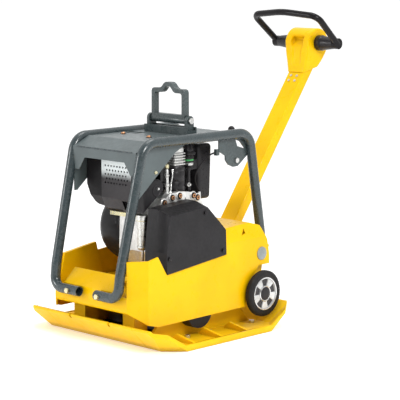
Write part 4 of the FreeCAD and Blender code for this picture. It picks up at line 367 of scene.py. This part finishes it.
# Every finish by its short name; the number after its colour is its roughness.
LOOK = {
    "yellow": enamel("yellow_enamel", YELLOW, 0.26, wear=0.35, edge_wear_and_highlight=(0.70, 0.60, 0.40)),
    "plate": enamel("plate_enamel", WORKED_YELLOW, 0.34, wear=0.75, edge_wear_and_highlight=(0.42, 0.38, 0.32),
                    peel=0.00012, dust=0.16),
    "slate": powder("slate_powder_coat", SLATE, 0.24, peel=0.000012, gloss=0.6),
    "roof": powder("roof_powder_coat", ROOF_SLATE, 0.34, peel=0.00002, gloss=0.45),
    "bail": powder("bail_powder_coat", BAIL_SLATE, 0.26, peel=0.00002, gloss=0.6),
    "black_paint": enamel("black_heat_paint", (0.016, 0.015, 0.016), 0.36, wear=0.25,
                          edge_wear_and_highlight=grey(0.2), peel=0.0001),
    "black_gloss": enamel("handle_black_gloss", (0.010, 0.009, 0.010), 0.20, peel=0.00003,
                          dust=0.06),
    # The two black plastics below carry a painted highlight along their edges.
    "moulded": moulded("black_moulding", (0.0125, 0.0115, 0.0130), 0.42, edge_wear_and_highlight=0.6),
    "smooth_plastic": moulded("black_smooth_plastic", (0.0145, 0.0130, 0.0145), 0.32,
                              grain=0.00003, grain_scale=1200.0, gloss=0.3, edge_wear_and_highlight=0.5),
    "rubber": rubber("mount_rubber", (0.014, 0.013, 0.014)),
    "tyre": rubber("tyre_rubber", (0.015, 0.014, 0.014), 0.66),
    "rim": moulded("rim_plastic", (0.40, 0.41, 0.41), 0.36, grain=0.00004),
    "rim_light": moulded("rim_pad_plastic", (0.62, 0.63, 0.63), 0.34, grain=0.00004),
    "rim_ring": machined("rim_bright_ring", grey(0.88), 0.22),
    # Dark panels for the rim's pocket floors: painted shade.
    "rim_pocket_shade": moulded("rim_pocket_painted_shade", (0.050, 0.048, 0.050), 0.5),
    "hub": moulded("hub_cap_plastic", (0.020, 0.018, 0.020), 0.42),
    "dark_ring": rubber("dark_washer", (0.020, 0.016, 0.014), 0.5),
    "plug": moulded("plug_plastic", (0.30, 0.33, 0.33), 0.35, grain=0.0003, grain_scale=260.0),
    "zinc": plated("zinc_plate", ZINC),
    "yellow_zinc": plated("yellow_zinc_plate", (0.74, 0.66, 0.34), second=(0.58, 0.56, 0.42)),
    "copper": plated("copper_bolt", (0.80, 0.40, 0.20), 0.36, second=(0.55, 0.27, 0.13)),
    "fasteners": fastener_plating("fastener_plating"),
    "alloy": casting("cast_alloy", (0.80, 0.80, 0.78), 0.42, metallic=0.75),
    "iron": casting("cast_iron", (0.20, 0.20, 0.21), 0.5, metallic=0.8),
    "dark_iron": casting("dark_cylinder_iron", (0.090, 0.085, 0.088), 0.42, metallic=0.6),
    "steel": machined("turned_steel", (0.62, 0.62, 0.63)),
    "brass": machined("bush_bronze", (0.70, 0.50, 0.24)),
    "canister": plated("canister_metal", (0.76, 0.76, 0.72), 0.34),
    "shield": heat_shield("heat_shield_sheet", low=0.560, high=0.600),
    "green_seal": rubber("green_seal_rubber", (0.05, 0.30, 0.09), 0.55),
    "floor": studio_ground("studio_floor"),
}

# The finish of each CAD node.
NODE_LOOK = {
    "base_plate": "plate", "extension_plate_right": "plate", "extension_plate_left": "plate",
    "upper_body": "yellow", "pole": "yellow", "pole_head": "yellow", "pole_bracket": "yellow",
    "protective_hoop_right": "slate", "protective_hoop_left": "slate", "top_cover": "roof",
    "lift_base": "bail", "lifting_frame": "bail", "throttle_bracket": "bail",
    "bolts_and_screws": "fasteners", "lift_pin": "zinc", "pole_pin": "zinc", "wheel_axle": "steel",
    "throttle_pin": "zinc", "throttle_lever": "bail", "pole_screws": "zinc",
    "dipstick": "yellow_zinc", "governor_lever": "zinc", "filter_bracket": "yellow_zinc",
    "engine_crankcase": "alloy", "clutch_flange": "alloy", "cylinder_head": "alloy",
    "exciter_end_covers": "alloy", "fuel_filter": "canister", "engine_cylinder": "dark_iron",
    "exciter_housing": "iron",
    "eccentric_shaft_front": "steel", "eccentric_shaft_rear": "steel",
    "timing_gear_front": "steel", "timing_gear_rear": "steel", "crankshaft": "steel",
    "flywheel": "iron", "exciter_pulley": "steel", "clutch_pulley": "steel",
    "exciter_bearings": "steel", "muffler": "black_paint", "rocker_cover": "alloy",
    "belt_guard": "black_paint", "flywheel_housing": "black_paint",
    "control_handle": "black_gloss", "muffler_guard": "shield", "belt_cover": "moulded",
    "fuel_tank": "smooth_plastic", "air_filter": "moulded", "fuel_cap": "smooth_plastic",
    "handle_shaft": "smooth_plastic", "throttle_knob": "smooth_plastic",
    "rubber_mounts": "rubber", "drive_belt": "rubber", "throttle_cable": "rubber",
    "tyre_right": "tyre", "tyre_left": "tyre", "wheel_rim_right": "rim", "wheel_rim_left": "rim",
    "side_plug": "plug", "pole_bushes": "brass",
}


# ---------------------------------------------------------------- CAD objects

SHARP_ANGLE = math.radians(38)
FLAT_ANGLE = math.radians(0.6)
WELD_DISTANCE = 0.02 * MM
# Widths of the rounds on the CAD objects' edges, in millimetres.
BEVELS = {
    "base_plate": 1.6, "extension_plate_right": 2.2, "extension_plate_left": 2.2,
    "upper_body": 1.2, "pole_bracket": 1.0, "top_cover": 0.6, "lift_base": 0.9,
    "lifting_frame": 2.4, "throttle_bracket": 0.6, "belt_cover": 2.2, "clutch_flange": 1.4,
    "engine_crankcase": 2.5, "flywheel_housing": 1.4, "muffler": 5.0, "exciter_housing": 2.0,
    "bolts_and_screws": 0.5, "side_plug": 0.4, "muffler_guard": 0.3, "cylinder_head": 0.5,
    "engine_cylinder": 0.4, "throttle_lever": 0.6, "governor_lever": 0.4, "filter_bracket": 0.5,
    "air_filter": 1.5, "fuel_filter": 0.6, "fuel_cap": 1.0, "pole_pin": 0.8, "lift_pin": 0.6,
}


def paint(piece, look):
    """Give every slot of an object one finish."""
    piece.data.materials.clear()
    piece.data.materials.append(LOOK[look])


def add_weld(piece):
    """Join the corners that neighbouring CAD faces share."""
    weld = piece.modifiers.new("weld", "WELD")
    weld.merge_threshold = WELD_DISTANCE


def add_rounds(piece, width, segments):
    """Round the sharp edges, by a width in millimetres."""
    bevel = piece.modifiers.new("rounds", "BEVEL")
    bevel.width = width * MM
    bevel.segments = segments
    bevel.limit_method = "ANGLE"
    bevel.angle_limit = SHARP_ANGLE
    bevel.harden_normals = True
    return bevel


def soften(piece, width):
    """Small real rounds on a CAD object's sharp edges, as modifiers over its untouched mesh."""
    add_weld(piece)
    flat = piece.modifiers.new("join_flat_faces", "DECIMATE")
    flat.decimate_type = "DISSOLVE"
    flat.angle_limit = FLAT_ANGLE
    add_rounds(piece, width, segments=2).miter_outer = "MITER_ARC"


def finish_cad_nodes():
    """Finish for every carried-over CAD object, with rounds where they show."""
    for name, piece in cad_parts.items():
        paint(piece, NODE_LOOK[name])
        if name in BEVELS:
            soften(piece, BEVELS[name])


# ---------------------------------------------------------------- shape kit

HEXAGON = 6


def add_object(name, data):
    """A new object in the scene."""
    made = bpy.data.objects.new(name, data)
    bpy.context.scene.collection.objects.link(made)
    return made


def dress(piece, look, body):
    """Finish a new piece and make it ride on a body."""
    paint(piece, look)
    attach(piece, body)


def spot(axis, centre, across, up, along):
    """A point in metres from a centre and offsets around the x or z axis in millimetres."""
    offsets = {"x": (along, across, up), "z": (across, up, along)}
    return Vector(centre) * MM + Vector(offsets[axis]) * MM


def join_rings(build, low, high):
    """Skin between two rings; a ring of one vertex closes to a point."""
    count = max(len(low), len(high))
    for index in range(count):
        after = (index + 1) % count
        corners = []
        for ring, place in ((low, index), (low, after), (high, after), (high, index)):
            vertex = ring[place % len(ring)]
            if vertex not in corners:
                corners.append(vertex)
        if len(corners) > 2:
            build.faces.new(corners)


def add_turned(build, axis, centre, profile, steps):
    """Lathe a (along, radius) profile; a profile off the axis at both ends closes on itself."""
    rings = []
    for along, radius in profile:
        if radius == 0:
            rings.append([build.verts.new(spot(axis, centre, 0, 0, along))])
            continue
        turns = (2 * math.pi * step / steps for step in range(steps))
        rings.append([build.verts.new(spot(axis, centre, radius * math.cos(turn),
                                           radius * math.sin(turn), along)) for turn in turns])
    for low, high in zip(rings, rings[1:]):
        join_rings(build, low, high)
    if profile[0][1] and profile[-1][1]:
        join_rings(build, rings[-1], rings[0])


def add_plate(build, axis, centre, outline, start, end):
    """A flat plate with an (across, up) outline between two depths."""
    rings = [[build.verts.new(spot(axis, centre, across, up, along)) for across, up in outline]
             for along in (start, end)]
    join_rings(build, *rings)
    for ring in rings:
        build.faces.new(ring)


def finish_piece(name, build, look, body, round_edges=0.0):
    """Turn mesh work into a finished piece that rides on a body."""
    bmesh.ops.recalc_face_normals(build, faces=build.faces)
    mesh = bpy.data.meshes.new(name)
    build.to_mesh(mesh)
    build.free()
    mesh.shade_smooth()
    mesh.set_sharp_from_angle(angle=SHARP_ANGLE)
    piece = add_object(name, mesh)
    dress(piece, look, body)
    if round_edges:
        add_rounds(piece, round_edges, segments=3)


def turned(name, look, axis, centres, profile, body="chassis", steps=40):
    """The same lathed shape at one or more places, as one piece."""
    build = bmesh.new()
    for centre in centres:
        add_turned(build, axis, centre, profile, steps)
    finish_piece(name, build, look, body)


def plate(name, look, axis, centre, outline, start, end, round_edges):
    """A flat plate with rounded edges, as a piece of the chassis."""
    build = bmesh.new()
    add_plate(build, axis, centre, outline, start, end)
    finish_piece(name, build, look, "chassis", round_edges)


def block(half_across, half_up):
    """Corners of a rectangle."""
    return [(-half_across, -half_up), (half_across, -half_up), (half_across, half_up),
            (-half_across, half_up)]


def pipe(name, look, points, radius):
    """A round pipe on the chassis along one smooth NURBS line through millimetre points."""
    data = bpy.data.curves.new(name, "CURVE")
    data.dimensions = "3D"
    data.bevel_depth = radius * MM
    data.bevel_resolution = 5
    data.use_fill_caps = True
    data.resolution_u = 10
    line = data.splines.new("NURBS")
    line.points.add(len(points) - 1)
    for target, point in zip(line.points, points):
        target.co = (*(Vector(point) * MM), 1.0)
    line.order_u = 3
    line.use_endpoint_u = True
    piece = add_object(name, data)
    dress(piece, look, "chassis")
    return piece


# Cell size in millimetres, then how far and how often the cast surface is relaxed.
CAST_CELL = 2.4
CAST_RELAX = 0.5
CAST_ROUNDS = 14


def cast_skin(name, node, look, body):
    """A cast surface over a CAD solid: its own mesh re-skinned in small cells and relaxed."""
    piece = add_object(name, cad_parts[node].data.copy())
    add_weld(piece)
    skin = piece.modifiers.new("skin", "REMESH")
    skin.mode = "VOXEL"
    skin.voxel_size = CAST_CELL * MM
    skin.use_smooth_shade = True
    relax = piece.modifiers.new("relax", "SMOOTH")
    relax.factor = CAST_RELAX
    relax.iterations = CAST_ROUNDS
    dress(piece, look, body)
    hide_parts(node)


# ---------------------------------------------------------------- engine details

# Places in millimetres; upright parts have their heights in their profiles.
FLANGE_BOLTS = ((142, -122, 480), (142, -83, 494), (142, -47, 497), (142, 22, 491), (142, 42, 482))
FLANGE_STUDS = ((142, -64, 476), (142, -12, 484), (142, 8, 470), (142, -100, 462))
CYLINDER = (84, -14, 0)
STICK = (118, -84, 0)
SIDE_TUBE = ((128, -76, 508), (127, -72, 524), (121, -66, 545), (125, -62, 566), (119, -58, 584))
SIDE_TUBE_RADIUS = 2.6
SIDE_TUBE_NUTS = ((128, -76, 504), (119, -58, 580))
BREATHER = (100, 40, 0)
PIPE_UNION = (110, 28, 526)
NECK = (78, 60, 0)
CLAMP_SCREW = (92, 50, 595)
FILTER_RECESS = (138, -152, 524)
FILTER_BOLT = (138, -146, 531)
CANISTER = (112, -196, 274)
FLYWHEEL_LATCH = (-166, -131, 357)
CABLE_ROUTE = ((160, 131, 637), (160, 98, 637), (143, 73, 609), (122, 60, 574), (108, 64, 538),
               (102, 82, 512), (100, 96, 495))
CABLE_RADIUS = 3.0


def flange_details():
    """Bolt bosses and studs on the clutch flange."""
    turned("flange_bosses", "alloy", "x", FLANGE_BOLTS,
           [(-1, 0), (-1, 15.0), (1.6, 15.0), (3.0, 13.6), (3.4, 11.0), (3.4, 0)])
    turned("flange_bolt_rings", "dark_ring", "x", FLANGE_BOLTS,
           [(3.3, 7.0), (3.3, 11.4), (4.8, 11.0), (5.4, 9.6), (5.4, 7.0)])
    turned("flange_bolt_centres", "dark_ring", "x", FLANGE_BOLTS,
           [(7.8, 0), (7.8, 3.6), (8.2, 3.8), (8.5, 3.2), (8.5, 0)])
    turned("flange_small_studs", "alloy", "x", FLANGE_STUDS,
           [(-1, 0), (-1, 5.5), (2.6, 5.0), (3.4, 3.6), (3.4, 0)])


def cylinder_details():
    """The cylinder's sleeve, the oil stick's collars and the thin tube beside them."""
    turned("cylinder_sleeve", "smooth_plastic", "z", [CYLINDER],
           [(507, 30.5), (507, 36.6), (509, 37.6), (540, 37.6), (541.5, 36.6), (543, 36.6),
            (544.5, 37.6), (576, 37.6), (577.5, 36.6), (579, 36.6), (580.5, 37.6), (590, 37.4),
            (593, 35.6), (593, 30.5)], steps=56)
    turned("stick_collars", "zinc", "z", [STICK],
           [(500, 5.1), (500, 9.4), (504, 10.2), (512, 10.2), (514, 8.0), (530, 7.4), (532, 9.2),
            (540, 9.2), (542, 7.0), (566, 6.8), (568, 8.8), (573, 8.8), (575, 6.6), (588, 6.4),
            (590, 5.1)])
    pipe("stick_side_tube", "zinc", SIDE_TUBE, SIDE_TUBE_RADIUS)
    turned("side_tube_nuts", "zinc", "z", SIDE_TUBE_NUTS,
           [(0, 0), (0, 5.0), (2, 5.6), (7, 5.6), (9, 4.6), (9, 0)], steps=HEXAGON)


def filler_details():
    """Collar, block, seal and clamp on the fuel tank's neck."""
    turned("filler_collar", "smooth_plastic", "z", [NECK],
           [(612, 17.9), (612, 20.2), (616, 21.4), (622, 21.4), (625, 19.6), (625, 17.9)])
    plate("filler_block", "smooth_plastic", "z", NECK, block(21.0, 21.0), start=626, end=640,
          round_edges=4.0)
    turned("filler_green_seal", "green_seal", "z", [NECK],
           [(606.5, 17.8), (606.5, 20.6), (608, 21.4), (610.5, 21.4), (612, 20.6), (612, 17.8)])
    turned("neck_clamp", "zinc", "z", [NECK],
           [(590, 17.9), (590, 19.4), (591, 20.0), (599, 20.0), (600, 19.4), (600, 17.9)])
    plate("neck_clamp_screw", "zinc", "x", CLAMP_SCREW, block(7.0, 4.6), start=-4, end=7,
          round_edges=1.2)


def breather_details():
    """The engine's breather pipe and the union beside it."""
    turned("breather_pipe", "smooth_plastic", "z", [BREATHER],
           [(503, 0), (503, 8.4), (505, 9.4), (514, 9.4), (516, 7.6), (572, 7.2), (574, 8.6),
            (582, 8.6), (584, 6.0), (584, 0)])
    turned("pipe_union", "zinc", "x", [PIPE_UNION],
           [(-8, 0), (-8, 5.5), (-1, 5.5), (0, 8.0), (6, 8.0), (7, 5.0), (13, 4.6), (13, 0)],
           steps=HEXAGON)


def filter_details():
    """Fittings on the air filter, the filter canister and the flywheel housing."""
    turned("air_filter_recess", "smooth_plastic", "x", [FILTER_RECESS],
           [(-0.5, 10.0), (-0.5, 20.5), (1.2, 20.0), (2.0, 18.4), (1.2, 16.6), (-0.2, 15.6),
            (-0.5, 15.0)])
    turned("air_filter_bolt", "zinc", "x", [FILTER_BOLT],
           [(-1, 0), (-1, 6.2), (2.2, 6.0), (4.6, 4.4), (5.4, 0)], steps=HEXAGON)
    turned("canister_band", "yellow_zinc", "z", [CANISTER],
           [(148, 19.0), (148, 22.4), (149, 23.0), (157, 23.0), (158, 22.4), (158, 19.0)])
    turned("canister_bead", "canister", "z", [CANISTER],
           [(52, 15.0), (52, 18.4), (54, 20.4), (58, 20.4), (60, 18.8), (60, 15.0)])
    turned("flywheel_latch", "zinc", "x", [FLYWHEEL_LATCH],
           [(-4, 0), (-4, 7.0), (3, 7.0), (6, 4.5), (6, 0)], steps=HEXAGON)


def throttle_line():
    """The throttle's Bowden cable, from its stop on the gusset down to the engine's lever."""
    cable = pipe("throttle_cable_line", "rubber", CABLE_ROUTE, CABLE_RADIUS)
    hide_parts("throttle_cable")


# ---------------------------------------------------------------- roof and cover details

ROOF_BOLTS = ((-100, -88, 700), (52, -107, 700))
APRON_FOLD = (0, -272, 668)
APRON_HALF_WIDTH = 140
WING_BOLT = (161, -179, 593)
COVER_KNOB = (240, 64, 367)
PLUG = (256, 259, 266)
PLUG_RINGS = {"outer": 19.5, "middle": 13.5, "inner": 7.5}


def body_details():
    """Roof bolts, the bead on the roof's fold with its painted shade line, the cover's knob and
    the plug's rings.
    """
    turned("roof_bolt_washers", "dark_ring", "z", ROOF_BOLTS,
           [(-0.5, 5.0), (-0.5, 11.0), (1.2, 10.6), (1.8, 9.4), (1.8, 5.0)])
    turned("roof_bolt_heads", "copper", "z", ROOF_BOLTS,
           [(-0.5, 0), (-0.5, 7.5), (5.2, 7.5), (6.4, 6.0), (6.6, 0)], steps=HEXAGON)
    # The bead takes the tubes' darker slate rather than the roof's colour: a real lip at the fold,
    # with a dark line of painted shade.
    plate("apron_fold_bead", "slate", "x", APRON_FOLD,
          [(-1.6, -3.2), (2.4, -3.2), (2.4, 1.2), (0.8, 2.6), (-1.0, 2.0), (-1.8, 0.4)],
          start=-APRON_HALF_WIDTH, end=APRON_HALF_WIDTH, round_edges=0.5)
    turned("wing_bolt", "yellow_zinc", "x", [WING_BOLT],
           [(-0.5, 0), (-0.5, 6.5), (3.4, 6.5), (4.6, 5.0), (4.8, 0)], steps=HEXAGON)
    turned("cover_knob", "moulded", "x", [COVER_KNOB],
           [(-6, 0), (-6, 9.0), (2, 10.0), (8, 10.0), (11, 8.2), (12, 0)])
    for name, radius in PLUG_RINGS.items():
        turned(f"plug_ring_{name}", "plug", "x", [PLUG],
               [(3.4, radius - 1.6), (4.6, radius - 1.2), (5.2, radius), (4.6, radius + 1.2),
                (3.4, radius + 1.6)])


# ---------------------------------------------------------------- wheels

WHEEL_CENTRE = (0, 248, 123)
SPOKES = 5
SECTOR_LOW, SECTOR_HIGH = 29.5, 54.5
SECTOR_HALF_STEPS = 3
SECTOR_BACK = 279.0
# Kind, finish, the first one's middle and half angle in degrees, outer face, edge round.
SECTORS = (
    ("pads", "rim_light", 54, 17.0, 285.2, 1.4),
    # The pockets' dark panels are painted shade.
    ("pockets", "rim_pocket_shade", 18, 18.6, 280.9, 0.3),
)


def ring_sector(low, high, half_turn, middle):
    """Outline of a sector of a ring."""
    turns = [middle - half_turn + half_turn * step / SECTOR_HALF_STEPS
             for step in range(2 * SECTOR_HALF_STEPS + 1)]
    return ([(high * math.cos(turn), high * math.sin(turn)) for turn in turns]
            + [(low * math.cos(turn), low * math.sin(turn)) for turn in reversed(turns)])


def wheel_details(side, sign):
    """Light pads, painted shade on the pocket floors, bright rings and a dark cap on one wheel's
    rim.
    """
    body = "wheel_" + side

    def ring(name, look, profile, steps):
        turned(f"{name}_{side}", look, "x", [WHEEL_CENTRE],
               [(sign * along, radius) for along, radius in profile], body, steps)

    ring("rim_outer_ring", "rim_ring",
         [(285.5, 55.6), (287.2, 56.2), (288.0, 57.6), (287.6, 59.2), (285.5, 59.9)],
         steps=72)
    ring("rim_inner_ring", "rim_ring",
         [(283.0, 24.6), (286.8, 25.2), (287.8, 26.6), (286.8, 28.6), (280.0, 30.0),
          (280.0, 24.6)], steps=60)
    ring("hub_cap", "hub",
         [(284.0, 0), (284.0, 24.8), (286.0, 24.2), (287.6, 21.0), (288.2, 12.0), (288.3, 0)],
         steps=56)
    for kind, look, first, half_turn, face, round_edges in SECTORS:
        build = bmesh.new()
        for index in range(SPOKES):
            middle = math.radians(first + 360 // SPOKES * index)
            outline = ring_sector(SECTOR_LOW, SECTOR_HIGH, math.radians(half_turn), middle)
            add_plate(build, "x", WHEEL_CENTRE, outline, sign * SECTOR_BACK, sign * face)
        finish_piece(f"rim_{kind}_{side}", build, look, body, round_edges)


# ---------------------------------------------------------------- stage

FLOOR_HALF = 30.0
FLOOR_LEVEL = -0.0005
# The sky is dimmer towards one side, so that flat faces turned there read darker.
DIM_SIDE = (0.62, -0.76, 0.10)
SKY_FALLOFF = {"From Min": -0.25, "From Max": 0.75, "To Min": 1.04, "To Max": 0.40}
# Name, place in metres, size in metres and power in watts.
LAMPS = (
    ("key", (3.4, -0.9, 3.0), 1.2, 105.0),
    ("front_fill", (-2.2, -4.2, 1.9), 1.4, 70.0),
    ("top", (0.2, 0.6, 4.2), 2.0, 55.0),
)
LAMP_TARGET = (0, 0, 0.4)
CAMERA_PLACE = (4.166, -4.033, 1.338)
CAMERA_AZIMUTH = math.radians(44.53)
CAMERA_ELEVATION = math.radians(8.60)
CAMERA_LENS = 146.7
CAMERA_SENSOR = 36.0


def aim(made, direction):
    """Point a lamp or the camera along a direction, kept upright."""
    made.rotation_mode = "QUATERNION"
    made.rotation_quaternion = direction.to_track_quat("-Z", "Y")


def build_floor():
    """A wide pale floor just under the object."""
    mesh = bpy.data.meshes.new("floor")
    floor = add_object("floor", mesh)
    build = bmesh.new()
    corners = [build.verts.new((x, y, FLOOR_LEVEL)) for x, y in block(FLOOR_HALF, FLOOR_HALF)]
    build.faces.new(corners)
    build.to_mesh(mesh)
    build.free()
    paint(floor, "floor")


def build_sky():
    """White surroundings that are dimmer towards one fixed side."""
    world = bpy.data.worlds.new("studio")
    bpy.context.scene.world = world
    world.use_nodes = True
    nodes = world.node_tree.nodes
    join = world.node_tree.links.new
    sky = nodes["Background"]
    sky.inputs["Color"].default_value = WHITE
    direction = nodes.new("ShaderNodeTexCoord").outputs["Generated"]
    toward = nodes.new("ShaderNodeVectorMath")
    toward.operation = "DOT_PRODUCT"
    toward.inputs[1].default_value = DIM_SIDE
    falloff = nodes.new("ShaderNodeMapRange")
    falloff.interpolation_type = "SMOOTHSTEP"
    for socket, value in SKY_FALLOFF.items():
        falloff.inputs[socket].default_value = value
    join(direction, toward.inputs[0])
    join(toward.outputs["Value"], falloff.inputs["Value"])
    join(falloff.outputs["Result"], sky.inputs["Strength"])


def build_lamps():
    """Soft area lamps aimed at the object."""
    for name, place, size, power in LAMPS:
        data = bpy.data.lights.new(name, "AREA")
        data.energy = power
        data.size = size
        lamp = add_object(name, data)
        lamp.location = place
        aim(lamp, Vector(LAMP_TARGET) - Vector(place))


def build_camera():
    """A long lens from the front right, a little above the object."""
    level = math.cos(CAMERA_ELEVATION)
    back = Vector((math.sin(CAMERA_AZIMUTH) * level, -math.cos(CAMERA_AZIMUTH) * level,
                   math.sin(CAMERA_ELEVATION)))
    data = bpy.data.cameras.new("camera")
    data.lens = CAMERA_LENS
    data.sensor_width = CAMERA_SENSOR
    camera = add_object("camera", data)
    camera.location = CAMERA_PLACE
    aim(camera, -back)
    bpy.context.scene.camera = camera
    bpy.context.scene.view_settings.view_transform = "Standard"


# ---------------------------------------------------------------- the whole

throttle_line()
finish_cad_nodes()
flange_details()
cylinder_details()
filler_details()
breather_details()
filter_details()
body_details()
wheel_details("right", 1)
wheel_details("left", -1)
cast_skin("drawbar_head_casting", "pole_head", "yellow", "drawbar")
build_floor()
build_sky()
build_lamps()
build_camera()
